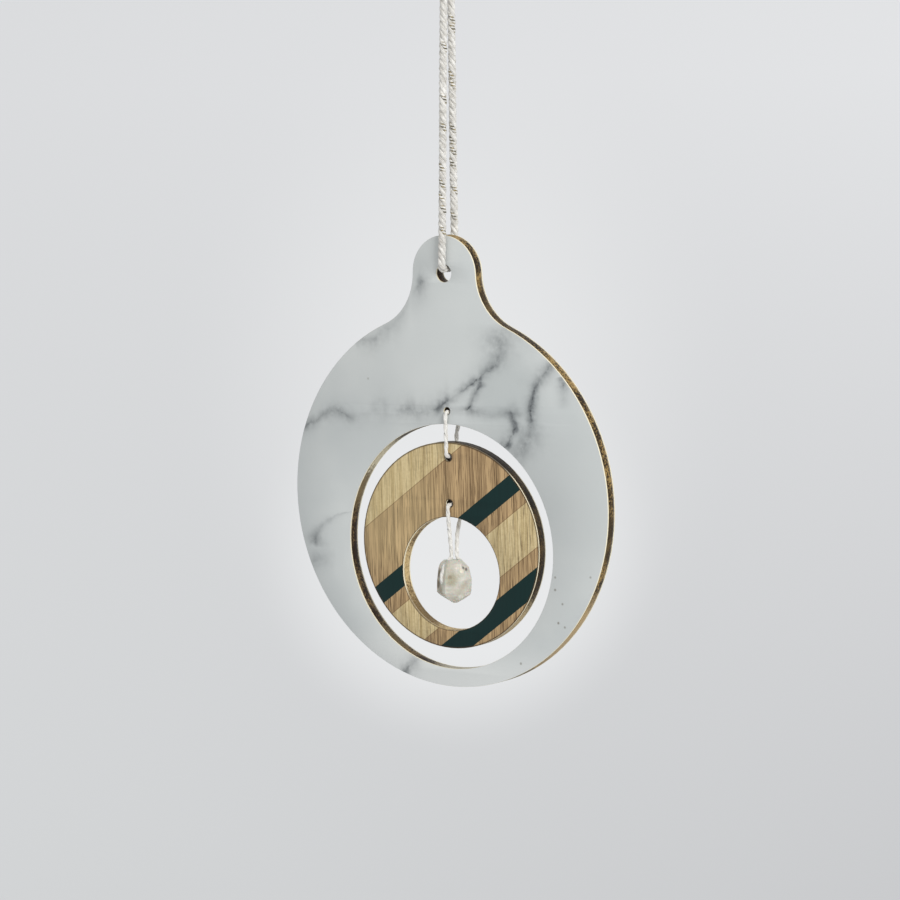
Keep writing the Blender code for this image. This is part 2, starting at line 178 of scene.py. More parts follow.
def feed(tree, shader, **patterns):
    """Wire patterns to the shader's sockets of those names."""
    for key, value in patterns.items():
        out = next(o for o in value.outputs if o.enabled) if isinstance(value, bpy.types.Node) else value
        tree.links.new(out, shader.inputs[key.replace("_", " ")])


def sway(tree, place, pattern, scale, reach):
    """Push a place about by a noise, up to half the reach each way, so that what is drawn there wanders."""
    drift = noise(tree, pattern, scale)
    shift = vector_arith(tree, "SUBTRACT", drift.outputs["Color"], (0.5, 0.5, 0.5))
    pushed = add(tree, "ShaderNodeVectorMath", {0: shift, "Scale": reach}, operation="SCALE")
    return vector_arith(tree, "ADD", place, pushed)


def lay_stains_and_painted_light(tree, colour, place, spots):
    """Lay soft spots over a colour: stains, and in places painted shade, shadows and highlights. Each: its middle in
    mm, how far it reaches, its colour, how strong it gets.
    """
    for middle, reach, tint, most in spots:
        away = vector_arith(tree, "DISTANCE", place, middle)
        near = ramp(tree, away, reach, SPOT_CORE * reach, most=most, shape="SMOOTHSTEP")
        colour = mix(tree, near, colour, tint)
    return colour


print("white in, white out:", [round(c, 2) for c in light_value("#FFFFFF")])

# %% [markdown]
# ## Twisted cord
# The hanging cord is three-ply cotton, 2 mm thick. It passes through the neck's hole and both its ends are caught
# in a knot above. A plain tube would hide the twist that makes it read as cord. So each ply is swept round a centre
# line as its own thin tube: a helix about a smooth route. The cord's route has the same points as its solid's.


# %% A smooth, evenly stepped line through a route
FINE_STEPS = 24
FEWEST_STEPS = 8


def lengths_along(line):
    """How far along a line each of its points lies."""
    return np.concatenate([[0.0], np.cumsum(np.linalg.norm(np.diff(line, axis=0), axis=1))])


def smooth_line(route_mm, step_mm, closed=False):
    """Points in metres along a centripetal curve through a route given in millimetres."""
    points = [np.array(p, float) for p in route_mm]
    count = len(points)
    if closed:
        padded = [points[-1]] + points + points[:2]
        spans = count
    else:
        padded = [2 * points[0] - points[1]] + points + [2 * points[-1] - points[-2]]
        spans = count - 1
    fine = []
    for i in range(spans):
        controls = padded[i:i + 4]
        knots = [0.0]
        for a, b in zip(controls, controls[1:]):
            knots.append(knots[-1] + math.sqrt(np.linalg.norm(b - a)))
        for t in np.linspace(knots[1], knots[2], FINE_STEPS, endpoint=False):
            mixed = list(controls)
            for level in (1, 2, 3):
                for k in range(4 - level):
                    low = knots[k] if level < 3 else knots[1]
                    high = knots[k + level] if level < 3 else knots[2]
                    mixed[k] = mixed[k] + (mixed[k + 1] - mixed[k]) * (t - low) / (high - low)
            fine.append(mixed[0])
    fine.append(points[0] if closed else points[-1])
    fine = np.array(fine)
    along = lengths_along(fine)
    steps = max(FEWEST_STEPS, round(along[-1] / step_mm))
    wanted = np.linspace(0, along[-1], steps + 1)
    even = np.stack([np.interp(wanted, along, fine[:, axis]) for axis in range(3)], axis=1)
    return (even[:-1] if closed else even) * MM


# %% Plies laid round a line
# Slubs are the thick places in a spun yarn. They come at two spacings, in metres, shifted from ply to ply
SLUB_SHARE = 0.06
SLUB_SPACINGS = (0.0011, 0.0031)
SLUB_SHIFT = 1.9
# A direction in which no cord starts
ANY_SIDE = [0.3, 0.9, 0.2]
# Keeps the plies' patterns apart
PLY_SHIFT_MM = 7


def unit(vectors):
    """Vectors scaled to length one."""
    return vectors / np.linalg.norm(vectors, axis=-1, keepdims=True)


def headings(line, closed):
    """The direction of travel at each point."""
    if closed:
        return unit(np.roll(line, -1, axis=0) - np.roll(line, 1, axis=0))
    return unit(np.gradient(line, axis=0))


def lay_plies(line, thickness, plies, pitch, sides=8, closed=False, press=1.2):
    """Rings of points (ply x step x side x 3), and the length along the line. Press flattens the grooves."""
    ahead = headings(line, closed)
    across = np.zeros_like(line)
    across[0] = unit(np.cross(ahead[0], ANY_SIDE))
    for i in range(1, len(line)):
        across[i] = unit(across[i - 1] - ahead[i] * np.dot(across[i - 1], ahead[i]))
    upward = np.cross(ahead, across)
    along = lengths_along(line)
    twist = -2 * math.pi * along / pitch
    whole = along[-1]
    if closed:
        last = across[-1] - ahead[0] * np.dot(across[-1], ahead[0])
        slip = math.atan2(np.dot(last, upward[0]), np.dot(last, across[0]))
        whole += np.linalg.norm(line[0] - line[-1])
        share = 2 * math.pi / plies
        twist = (round((slip - 2 * math.pi * whole / pitch) / share) * share - slip) * along / whole
    ply_radius = press * thickness / 2 / (1 + 1 / math.sin(math.pi / plies))
    swing = thickness / 2 - ply_radius
    rings = []
    for ply in range(plies):
        angle = (twist + 2 * math.pi * ply / plies)[:, None]
        out = np.cos(angle) * across + np.sin(angle) * upward
        centre = line + swing * out
        heading = headings(centre, closed)
        radial = unit(out - heading * np.sum(out * heading, axis=1, keepdims=True))
        side = np.cross(heading, radial)
        slubs = sum(
            np.sin(2 * math.pi * round(whole / length) * along / whole + SLUB_SHIFT * ply)
            for length in SLUB_SPACINGS)
        radius = (ply_radius * (1 + SLUB_SHARE * slubs / 2))[:, None, None]
        turn = np.linspace(0, 2 * math.pi, sides, endpoint=False)[None, :, None]
        rings.append(centre[:, None] + radius * (np.cos(turn) * radial[:, None] + np.sin(turn) * side[:, None]))
    return np.array(rings), along


def sew_rings(name, rings, along, finish, foil=None):
    """One mesh of capped tubes from rings of points. Its map has millimetres round and along each ply."""
    plies, steps, sides = rings.shape[:3]
    faces, corners_uv = [], []
    girth = np.linalg.norm(rings[0, 0, 0] - rings[0, 0, 1]) * sides / MM
    for ply in range(plies):
        base = ply * steps * sides
        for i in range(steps - 1):
            start, end = along[i] / MM, along[i + 1] / MM
            for j in range(sides):
                k = (j + 1) % sides
                near, far = base + i * sides, base + (i + 1) * sides
                faces.append((near + j, near + k, far + k, far + j))
                low, high = (girth * edge / sides + ply * PLY_SHIFT_MM for edge in (j, j + 1))
                corners_uv += [(low, start), (high, start), (high, end), (low, end)]
        faces.append(tuple(base + j for j in reversed(range(sides))))
        faces.append(tuple(base + (steps - 1) * sides + j for j in range(sides)))
        corners_uv += [(0.0, 0.0)] * (2 * sides)
    mesh = bpy.data.meshes.new(name)
    mesh.from_pydata(rings.reshape(-1, 3).tolist(), [], faces)
    mesh.uv_layers.new(name="yarn_mm").data.foreach_set("uv", np.array(corners_uv, np.float32).ravel())
    if foil is not None:
        mesh.attributes.new("foil", "FLOAT", "POINT").data.foreach_set("value", foil.astype(np.float32).ravel())
    mesh.polygons.foreach_set("use_smooth", [len(face) == 4 for face in faces])
    mesh.materials.append(finish)
    mesh.update()
    piece = new_object(name, mesh)
    return piece


# %% [markdown]
# ## Cotton with gold in it
# Cotton yarn is spun from short fibres, so it scatters light softly and has no clear gloss. A thin strip of gold foil
# is wound round one ply, and shows as a few slanting dashes where that ply comes out. The places are kept on the mesh
# as a mark from 0 to 1, because a pattern along a bent cord is easiest to set where the cord is made.

# %% Cotton finish
FOIL_DASH_MM = 0.95
FOIL_LEAN_MM = 2.0
FIBRE_SLANT_DEG = 14
FIBRE_STRETCH = 0.12


def cotton(name, pale, shaded, fibre_mm, through_mm, through_share, gilt=False):
    """Spun cotton: pale fibres along each ply, a little darker between them. Light passes in to a small depth."""
    material, tree, shader = new_finish(
        name, Roughness=0.85, Sheen_Weight=0.25, Sheen_Roughness=0.5, Subsurface_Weight=through_share,
        Subsurface_Scale=through_mm * MM, Subsurface_Radius=(1, 1, 1))
    yarn = add(tree, "ShaderNodeUVMap", uv_map="yarn_mm")
    skew = add(tree, "ShaderNodeMapping", {
        "Vector": yarn, "Rotation": (0, 0, math.radians(FIBRE_SLANT_DEG)),
        "Scale": (1 / fibre_mm, FIBRE_STRETCH / fibre_mm, 1)})
    fibres = noise(tree, skew, 1.0, 3.0, 0.6)
    slubs = noise(tree, yarn, 0.55)
    both = arith(tree, "ADD", fibres, slubs)
    tone = ramp(tree, both, 0.75, 1.2)
    colour = mix(tree, tone, shaded, pale)
    bump = add(tree, "ShaderNodeBump", {"Height": fibres, "Strength": 0.5, "Distance": 0.00006})
    if gilt:
        mark = add(tree, "ShaderNodeAttribute", attribute_name="foil").outputs["Fac"]
        lean = (2 * math.pi / FOIL_LEAN_MM, 2 * math.pi / FOIL_DASH_MM, 0)
        wound = vector_arith(tree, "DOT_PRODUCT", yarn, lean)
        dashes = arith(tree, "SINE", wound)
        broken = noise(tree, yarn, 1.9)
        uneven = arith(tree, "MULTIPLY_ADD", broken, 2.2, dashes)
        edge = ramp(tree, uneven, 1.0, 1.5)
        shows = arith(tree, "MULTIPLY", edge, mark)
        # Painted glints: where a noise is high the foil is painted bright gold, elsewhere dull olive
        glint = noise(tree, yarn, 1.1)
        bright = ramp(tree, glint, 0.46, 0.60)
        foil_tone = mix(tree, bright, "#545040", "#95855C")
        colour = mix(tree, shows, colour, foil_tone)
    feed(tree, shader, Base_Color=colour, Normal=bump)
    return material


gold_flecked_cotton = cotton("gold_flecked_cotton", "#E1DFDA", "#ADA9A1", 0.12, 0.4, 0.5, gilt=True)
white_cotton = cotton("white_cotton_thread", "#E9E7E2", "#C9C5BD", 0.09, 0.5, 0.2)

# %% [markdown]
# ## The hanging cord and its knot
# The cord stays one length: cut end, knot, round the hook, down in front of the neck, through the hole and back up
# behind. When the plate turns, its free strands wind round each other. The knot is made of turns of the same cord,
# drawn round both strands.

# %% Hanging cord
CORD_MM = 2.0
# The plies' round tops stand a little outside the solid's even surface
CORD_PUFF_MM = 2.14
CORD_PLIES = 3
CORD_LAY_MM = 5.8
CORD_STEP_MM = 0.4
CORD_FRONT_ROUTE = [
    (0.70, -2.30, 12.40), (0.35, -1.50, 11.00), (0.10, -1.08, 9.30), (0.00, -1.06, 5.60), (0.00, -1.09, 2.40),
    (0.05, -1.62, 0.20), (0.20, -2.24, -2.10), (0.62, -2.28, -4.60), (1.24, -2.00, -7.60), (1.78, -1.76, -10.60),
    (2.03, -1.70, -13.00), (1.99, -1.74, -14.80), (1.67, -2.04, -29.10), (1.28, -2.24, -44.70),
    (0.93, -2.48, -60.40), (0.64, -2.80, -73.60), (0.54, -2.92, -78.00), (0.38, -2.92, -81.20),
    (0.22, -2.89, -82.60), (0.12, -2.58, -83.42), (0.06, -1.76, -83.75), (0.00, 0.00, -83.76),
]
cord_route = CORD_FRONT_ROUTE + [(x, -y, z) for x, y, z in reversed(CORD_FRONT_ROUTE[:-1])]
cord_line = smooth_line(cord_route, CORD_STEP_MM)
cord_rings, cord_along = lay_plies(cord_line, CORD_PUFF_MM * MM, CORD_PLIES, CORD_LAY_MM * MM)

# %% Where the foil shows, by height in mm on each strand
FOIL_FRONT = [-25.6, -39.4, -46.5, -56.8, -61.2, -64.5, -68.1, -73.6]
FOIL_REAR = [-18.4, -20.9, -32.8, -35.3, -47.0, -50.2, -53.0, -56.3, -63.4, -69.9]
FOIL_REACH_MM = 1.7
FOIL_FIRMNESS = 1.6
TOWARDS_ROOM = np.array([0.57, -0.82, 0.0])

foil = np.zeros(cord_rings.shape[:3])
ply_centres = cord_rings.mean(axis=2)
for heights, sign in ((FOIL_FRONT, -1), (FOIL_REAR, 1)):
    strand = np.flatnonzero((np.sign(cord_line[:, 1]) == sign) & (cord_line[:, 2] < 0))
    for height in heights:
        middle = strand[np.argmin(np.abs(cord_line[strand, 2] / MM - height))]
        lean = (ply_centres[:, middle] - cord_line[middle]) @ TOWARDS_ROOM
        ply = int(np.argmax(lean))
        away = np.abs(cord_along - cord_along[middle]) / MM
        foil[ply] = np.maximum(foil[ply], np.clip(FOIL_FIRMNESS * (1 - away / FOIL_REACH_MM), 0, 1)[:, None])
hanging_cord = sew_rings(
    "hanging_cord_yarn", cord_rings, cord_along, gold_flecked_cotton, foil)
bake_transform(hanging_cord)
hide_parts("hanging_cord")
print("foil shows in", len(FOIL_FRONT) + len(FOIL_REAR), "places")

# %% Knot of the hanging cord
KNOT_REACH_MM = 2.12
KNOT_STRAND_MM = 1.06
KNOT_BASE_MM = 3.0
KNOT_HALF_TURNS = 5
KNOT_STEP_MM = 0.35
# Each half turn starts a little above the one before, and climbs by most of the rest
KNOT_START = 0.07
KNOT_CLIMB = 0.86

knot_route = []
for half_turn in range(KNOT_HALF_TURNS):
    for share in np.linspace(0, 1, 9):
        angle = math.pi * (half_turn - 0.5 + share)
        side = KNOT_STRAND_MM * (-1) ** half_turn
        rise = KNOT_REACH_MM * (half_turn + share * KNOT_CLIMB + KNOT_START) / 2
        knot_route.append((
            KNOT_REACH_MM * math.sin(angle), side + KNOT_REACH_MM * math.cos(angle), KNOT_BASE_MM + rise))
knot_rings, knot_along = lay_plies(smooth_line(knot_route, KNOT_STEP_MM), CORD_MM * MM, CORD_PLIES, CORD_LAY_MM * MM)
no_foil = np.zeros(knot_rings.shape[:3])
cord_knot = sew_rings("cord_knot_yarn", knot_rings, knot_along, gold_flecked_cotton, no_foil)
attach(cord_knot, "loop")
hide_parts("cord_knot")
print("knot has", KNOT_HALF_TURNS / 2, "turns")

# %% [markdown]
# ## The two thread loops
# A finer two-ply thread carries the ring, and another the crystal. Each is a closed loop. It bears on the web of
# wood or stone between a small hole and the big opening. Such a loop turns and swings with two different bodies, and
# a blend works across one joint only. So each loop is cut level, where it hangs free, into an upper and a lower
# piece whose cut ends match exactly.

# %% Thread routes
THREAD_MM = 1.16
THREAD_PLIES = 2
THREAD_LAY_MM = 5.0
THREAD_STEP_MM = 0.25
RING_REST_TURN_DEG = 2.2
RING_REST_TURN = Matrix.Rotation(math.radians(RING_REST_TURN_DEG), 3, "Z")
RING_THREAD_ROUTE = [
    (0, 0, -121.75), (0, -1.75, -121.75), (0, -2.24, -121.96), (0, -2.45, -122.45), (0, -2.45, -129.7),
    (0, -2.45, -132.65), (0, -2.24, -133.14), (0, -1.75, -133.35), (0, 0, -133.35), (0, 1.75, -133.35),
    (0, 2.24, -133.14), (0, 2.45, -132.65), (0, 2.45, -129.7), (0, 2.45, -128.0), (0, 3.06, -126.41),
    (0, 3.67, -125.07), (0, 3.67, -123.85), (0, 3.67, -123.24), (0, 3.03, -122.03), (0, 2.3, -121.75),
]
# Where the thread bites into the stone: distance from the upright line, height, and turn round that line in degrees
STONE_BITE = [
    (0.80, -160.55, 33), (1.30, -161.25, 37), (2.10, -162.05, 45), (3.00, -163.30, 52), (3.62, -165.20, 55),
    (3.66, -166.60, 55), (3.00, -167.40, 55),
]
bite = [
    (reach * math.cos(math.radians(turn)), reach * math.sin(math.radians(turn)), z) for reach, z, turn in STONE_BITE]
CRYSTAL_THREAD_ROUTE = [
    (0, 0, -146.35), (0, -1.75, -146.35), (0, -2.24, -146.56), (0, -2.45, -147.05), (0, -2.45, -149.6),
    (-0.15, -1.93, -151.97), (-0.29, -1.41, -154.33), (-0.44, -0.9, -156.7), (-0.59, -0.38, -159.06),
    *((-x, -y, z) for x, y, z in bite), (0, 0, -167.5), *reversed(bite),
    (0.59, 0.38, -159.06), (0.44, 0.9, -156.7), (0.29, 1.41, -154.33), (0, 2.45, -152.7), (0, 3.06, -151.11),
    (0, 3.67, -149.77), (0, 3.67, -148.55), (0, 3.67, -147.94), (0, 3.03, -146.63), (0, 2.3, -146.35),
]
print("routes:", len(RING_THREAD_ROUTE), "and", len(CRYSTAL_THREAD_ROUTE), "points")


# %% A loop in two halves
def thread_loop(name, route, cut_mm, turned):
    """Lower and upper halves of a closed thread loop that is cut at one height."""
    line = smooth_line(route, THREAD_STEP_MM, closed=True)
    if turned:
        line = line @ np.array(RING_REST_TURN).T
    low = np.flatnonzero(line[:, 2] < cut_mm * MM)
    line = np.roll(line, -low[0], axis=0)
    rings, along = lay_plies(line, THREAD_MM * MM, THREAD_PLIES, THREAD_LAY_MM * MM, closed=True, press=1.5)
    rings = np.concatenate([rings, rings[:, :1]], axis=1)
    along = np.append(along, 2 * along[-1] - along[-2])
    count = len(low)
    print(name, "is", round(float(along[-1]) / MM, 1), "mm round")
    return [
        sew_rings(f"{name}_{part}", rings[:, span], along[span], white_cotton)
        for part, span in (("lower", slice(0, count)), ("upper", slice(count - 1, None)))]


ring_lower, ring_upper = thread_loop("ring_thread", RING_THREAD_ROUTE, -127.2, False)
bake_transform(ring_upper)
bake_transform(ring_lower)
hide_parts("ring_thread")
crystal_lower, crystal_upper = thread_loop("crystal_thread", CRYSTAL_THREAD_ROUTE, -152.8, True)
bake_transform(crystal_upper)
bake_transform(crystal_lower)
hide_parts("crystal_thread")

# %% Knots of the two threads
THREAD_KNOT_TURNS = 2
THREAD_KNOT_RADIUS_MM = 1.22
THREAD_KNOT_DEPTH_MM = 3.67
THREAD_TAIL_MM = 2.2
TAIL_BEND_MM = 0.55
TAIL_RISE_MM = 0.28
THREAD_KNOT_MM = 1.1
THREAD_KNOT_STEPS = 12


def thread_knot(name, centre_mm, turned, body):
    """Two turns round the rear strand, with a cut tail to each side."""
    radius = THREAD_KNOT_RADIUS_MM
    height = radius * THREAD_KNOT_TURNS
    base = centre_mm - height / 2
    back = THREAD_KNOT_DEPTH_MM + radius
    route = [(-THREAD_TAIL_MM, back - TAIL_BEND_MM, base + TAIL_RISE_MM), (-THREAD_TAIL_MM / 2, back, base)]
    for step in range(THREAD_KNOT_TURNS * THREAD_KNOT_STEPS + 1):
        angle = 2 * math.pi * step / THREAD_KNOT_STEPS
        route.append((
            radius * math.sin(angle), THREAD_KNOT_DEPTH_MM + radius * math.cos(angle),
            base + radius * step / THREAD_KNOT_STEPS))
    route += [
        (THREAD_TAIL_MM / 2, back, base + height),
        (THREAD_TAIL_MM, back - TAIL_BEND_MM, base + height - TAIL_BEND_MM)]
    line = smooth_line(route, THREAD_STEP_MM)
    if turned:
        line = line @ np.array(RING_REST_TURN).T
    rings, along = lay_plies(line, THREAD_KNOT_MM * MM, THREAD_PLIES, THREAD_LAY_MM * MM)
    piece = sew_rings(f"{name}_yarn", rings, along, white_cotton)
    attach(piece, body)
    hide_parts(name)


thread_knot("ring_thread_knot", -123.85, False, "plate")
thread_knot("crystal_thread_knot", -148.55, True, "ring")
print("thread knots have", THREAD_KNOT_TURNS, "turns each")

# %% [markdown]
# ## White marble facing
# The plate's faces are thin sheets of honed white marble with grey veins. A vein is a crack that other minerals
# filled: a fine dark core, broken here and there, in a soft grey smear. Each one is drawn here as a line across the
# plate, with its own width and strength along the way, and noise makes it wander. The ground is slow, pale cloud.

# %% Veins that run across the plate, in mm from the disc's centre
# Each row is: place along the vein, place across it, half width, strength
VEINS_ACROSS = {
    "left": [
        (-50.0, 16.0, 0.8, 0.30), (-46.4, 17.7, 0.9, 0.62), (-42.8, 19.2, 0.8, 0.50), (-39.9, 21.2, 0.8, 0.44),
        (-36.6, 22.0, 0.9, 0.55), (-34.1, 21.8, 0.8, 0.55), (-31.0, 20.8, 0.9, 0.36), (-27.1, 21.8, 1.4, 0.14),
        (-21.1, 23.2, 1.5, 0.30), (-18.0, 22.6, 1.4, 0.16), (-15.8, 23.1, 1.2, 0.30), (-11.6, 23.7, 1.1, 0.55),
        (-8.2, 22.8, 1.1, 0.44), (-4.7, 23.6, 1.1, 0.48), (-1.6, 25.0, 1.0, 0.95), (1.2, 26.9, 1.1, 0.36),
        (3.5, 27.6, 1.0, 0.0),
    ],
    "faint": [
        (5.5, 24.4, 0.6, 0.0), (7.2, 24.3, 0.8, 0.70), (9.5, 23.6, 0.8, 0.40), (13.0, 23.1, 0.8, 0.28),
        (16.5, 23.3, 0.8, 0.26), (20.5, 24.0, 1.0, 0.50), (23.9, 23.8, 0.8, 0.28), (26.9, 24.0, 0.8, 0.24),
        (28.5, 24.2, 0.7, 0.0),
    ],
    "shoulder": [
        (-29.5, 41.5, 0.9, 0.0), (-26.8, 41.5, 1.2, 0.44), (-24.4, 41.4, 1.3, 0.36), (-22.1, 42.3, 1.4, 0.42),
        (-20.4, 43.7, 1.3, 0.38), (-17.2, 45.5, 1.5, 0.28), (-13.5, 49.0, 1.7, 0.24), (-11.0, 53.0, 1.4, 0.0),
    ],
    "neck": [
        (-11.0, 53.0, 0.9, 0.0), (-9.0, 55.6, 1.6, 0.26), (-7.1, 57.4, 1.3, 0.62), (-5.6, 58.2, 1.5, 0.26),
        (-3.5, 59.0, 1.4, 0.0),
    ],
    "low_left": [
        (-46.0, -19.5, 1.2, 0.26), (-44.1, -18.7, 1.2, 0.34), (-41.2, -18.2, 1.4, 0.24), (-37.5, -18.0, 1.3, 0.0),
    ],
    "foot": [
        (-18.0, -49.0, 1.4, 0.30), (-15.7, -47.1, 1.4, 0.70), (-13.7, -45.0, 1.3, 0.52), (-11.0, -43.3, 1.4, 0.26),
        (-8.5, -42.0, 1.3, 0.0),
    ],
}

# %% Veins that run up the plate
VEINS_UP = {
    "climb": [
        (24.0, -3.2, 0.9, 0.0), (25.2, -1.2, 1.0, 0.80), (28.0, 2.9, 1.3, 0.38), (29.2, 4.8, 1.2, 0.55),
        (30.6, 7.2, 1.0, 0.80), (32.0, 9.6, 1.0, 1.00), (33.9, 12.1, 1.2, 0.60), (35.2, 14.2, 1.3, 0.72),
        (37.2, 16.2, 1.6, 0.58), (39.8, 17.6, 2.0, 0.50), (42.6, 17.4, 2.3, 0.52), (44.6, 18.2, 2.4, 0.40),
        (47.5, 19.4, 2.2, 0.0),
    ],
    "hook": [
        (23.8, 6.3, 0.6, 0.0), (24.7, 6.9, 0.8, 1.15), (25.8, 7.5, 0.7, 0.62), (27.4, 8.4, 0.7, 0.58),
        (29.4, 9.6, 0.7, 0.66), (30.8, 10.8, 0.6, 0.95), (32.0, 10.5, 0.6, 0.70), (33.0, 9.9, 0.6, 0.0),
    ],
    "dark": [
        (13.5, 16.8, 0.8, 0.0), (15.2, 18.6, 1.0, 1.0), (17.4, 20.1, 1.0, 0.66), (19.1, 21.2, 0.8, 1.0),
        (20.8, 21.8, 0.8, 1.1), (22.4, 20.9, 0.8, 0.80), (23.6, 20.6, 1.0, 0.85), (24.6, 20.2, 1.1, 0.50),
        (26.0, 19.6, 1.0, 0.0),
    ],
    "right": [
        (8.0, 19.0, 2.0, 0.0), (12.0, 21.8, 2.2, 0.34), (14.7, 23.6, 2.3, 0.50), (17.2, 25.4, 2.1, 0.52),
        (20.3, 26.3, 1.6, 0.56), (22.9, 26.9, 0.8, 0.95), (25.7, 26.8, 0.7, 1.10), (27.9, 27.3, 0.7, 1.00),
        (30.2, 27.9, 0.7, 1.00), (32.3, 29.2, 1.2, 0.66), (34.2, 31.0, 1.3, 0.60), (36.4, 32.8, 1.2, 0.62),
        (38.5, 34.4, 1.3, 0.0),
    ],
    "rim": [
        (25.0, 36.8, 1.0, 0.0), (27.5, 36.9, 0.9, 0.20), (30.0, 37.1, 0.8, 0.26), (32.6, 37.0, 0.6, 0.80),
        (34.2, 36.7, 0.7, 0.0),
    ],
    "arc": [
        (-15.5, -42.6, 1.0, 0.0), (-14.6, -43.7, 1.2, 0.40), (-13.3, -44.5, 1.2, 0.60), (-11.0, -43.7, 1.1, 0.42),
        (-8.5, -41.3, 1.0, 0.34), (-6.6, -38.0, 0.9, 0.28), (-5.4, -34.0, 0.8, 0.26), (-4.9, -31.0, 0.8, 0.0),
    ],
}
print("veins:", len(VEINS_ACROSS) + len(VEINS_UP))

# %% Pits in the stone, in mm from the disc's centre: place, radius, and how dark
PITS = [
    (33.1, -21.9, 0.50, 0.70), (35.3, -25.5, 0.45, 0.65), (33.9, -30.6, 0.50, 0.75), (35.9, -31.6, 0.45, 0.65),
    (44.2, -17.9, 0.45, 0.55), (33.2, -18.6, 0.45, 0.60), (21.8, -42.2, 0.50, 0.65), (-25.4, 31.2, 0.45, 0.40),
]
# Large clouds: middle, reach, colour, most
CLOUDS = [
    ((44.0, 0, 6.0), 30.0, "#B8BCBB", 0.70), ((-3.0, 0, 42.0), 24.0, "#CBCECC", 0.60),
    ((19.0, 0, 29.0), 16.0, "#AFB4B3", 0.70),
]
DISC_MIDDLE_MM = -145
CLOUD_MM = 30
VEIN_WANDER_MM = 0.9
# How the veins wander: changes per mm, and how far
VEIN_SWAYS = ((0.16, 2 * VEIN_WANDER_MM), (0.75, VEIN_WANDER_MM))
WIDEST_VEIN_MM = 2.5
STRONGEST_VEIN = 1.25
CORE_SHARPNESS, SMEAR_SHARPNESS = 4.6, 0.19
VEIN_FALL = -1.6


# %% One vein as nodes
def curve_through(tree, share, rows, column, low, high):
    """A float curve through one column of a vein's rows, scaled from low..high to 0..1."""
    start, end = rows[0][0], rows[-1][0]
    made = add(tree, "ShaderNodeFloatCurve", {"Value": share})
    drawn = made.mapping.curves[0].points
    for i, row in enumerate(rows):
        place = ((row[0] - start) / (end - start), (row[column] - low) / (high - low))
        if i == 0:
            drawn[0].location = place
        elif i == len(rows) - 1:
            drawn[len(drawn) - 1].location = place
        else:
            drawn.new(*place)
    made.mapping.update()
    return made


def vein(tree, run, across, rows):
    """How strongly one vein's core and its smear show: strength * (1 + sharpness * (distance / width)^2) ^ VEIN_FALL.

    The core takes the strength twice, so a weak vein is nearly all smear.
    """
    share = ramp(tree, run, rows[0][0], rows[-1][0])
    low, high = min(r[1] for r in rows) - 1, max(r[1] for r in rows) + 1
    middle = ramp(tree, curve_through(tree, share, rows, 1, low, high), 0, 1, low, high)
    away = arith(tree, "SUBTRACT", across, middle)
    width = arith(tree, "MULTIPLY", curve_through(tree, share, rows, 2, 0, WIDEST_VEIN_MM), WIDEST_VEIN_MM)
    ratio = arith(tree, "DIVIDE", away, width)
    square = arith(tree, "MULTIPLY", ratio, ratio)
    drawn = curve_through(tree, share, rows, 3, 0, STRONGEST_VEIN)
    strength = arith(tree, "MULTIPLY", drawn, STRONGEST_VEIN)
    shown = []
    for sharpness in (CORE_SHARPNESS, SMEAR_SHARPNESS):
        widened = arith(tree, "MULTIPLY_ADD", square, sharpness, 1.0)
        fall = arith(tree, "POWER", widened, VEIN_FALL)
        shown.append(arith(tree, "MULTIPLY", fall, strength))
    shown[0] = arith(tree, "MULTIPLY", shown[0], strength)
    return shown


# %% Marble finish
def marble(name, reverse=False):
    """Honed white marble with its veins, and a few pits on the front."""
    material, tree, shader = new_finish(name, Roughness=0.42, IOR=1.49)
    stone = in_mm(tree, -180 if reverse else 0, DISC_MIDDLE_MM)
    moved = stone
    for scale, reach in VEIN_SWAYS:
        moved = sway(tree, moved, stone, scale, reach)
    axes = add(tree, "ShaderNodeSeparateXYZ", {0: moved})
    sideways, upwards = axes.outputs[0], axes.outputs[2]
    found = [vein(tree, sideways, upwards, rows) for rows in VEINS_ACROSS.values()]
    found += [vein(tree, upwards, sideways, rows) for rows in VEINS_UP.values()]
    strongest = []
    for shown in zip(*found):
        top = shown[0]
        for one in shown[1:]:
            top = arith(tree, "MAXIMUM", top, one)
        strongest.append(top)
    grit = noise(tree, stone, 0.95, 3.0, 0.65)
    broken = ramp(tree, grit, 0.36, 0.64, 0.08, 1.0)
    core = arith(tree, "MULTIPLY", strongest[0], broken, use_clamp=True)
    blots = noise(tree, stone, 0.34, 3.0, 0.6)
    patchy = ramp(tree, blots, 0.34, 0.62, 0.55, 1.25)
    smear = arith(tree, "MULTIPLY", strongest[1], patchy, use_clamp=True)
    clouds = noise(tree, stone, 1 / CLOUD_MM, 3.0, 0.5)
    cloudy = ramp(tree, clouds, 0.38, 0.62)
    colour = mix(tree, cloudy, "#BDC1C0", "#C7CAC8")
    height = add(tree, "ShaderNodeSeparateXYZ", {0: stone}).outputs[2]
    foot = ramp(tree, height, -34.0, -50.0, shape="SMOOTHSTEP")
    colour = mix(tree, foot, colour, "#D2D4D2")
    flat = vector_arith(tree, "MULTIPLY", stone, (1, 0, 1))
    colour = lay_stains_and_painted_light(tree, colour, flat, CLOUDS)
    colour = mix(tree, smear, colour, "#767A7B")
    colour = mix(tree, core, colour, "#484C4E")
    if not reverse:
        colour = lay_stains_and_painted_light(tree, colour, flat, [((x, 0, z), radius, "#6F6A5C", dark) for x, z, radius, dark in PITS])
    honing = noise(tree, stone, 1.4, 3.0)
    bump = add(tree, "ShaderNodeBump", {"Height": honing, "Strength": 0.25, "Distance": 0.00004})
    feed(tree, shader, Base_Color=colour, Normal=bump)
    return material


marble_front = marble("honed_white_marble_front")
marble_back = marble("honed_white_marble_back", reverse=True)
print("marble nodes:", len(marble_front.node_tree.nodes))

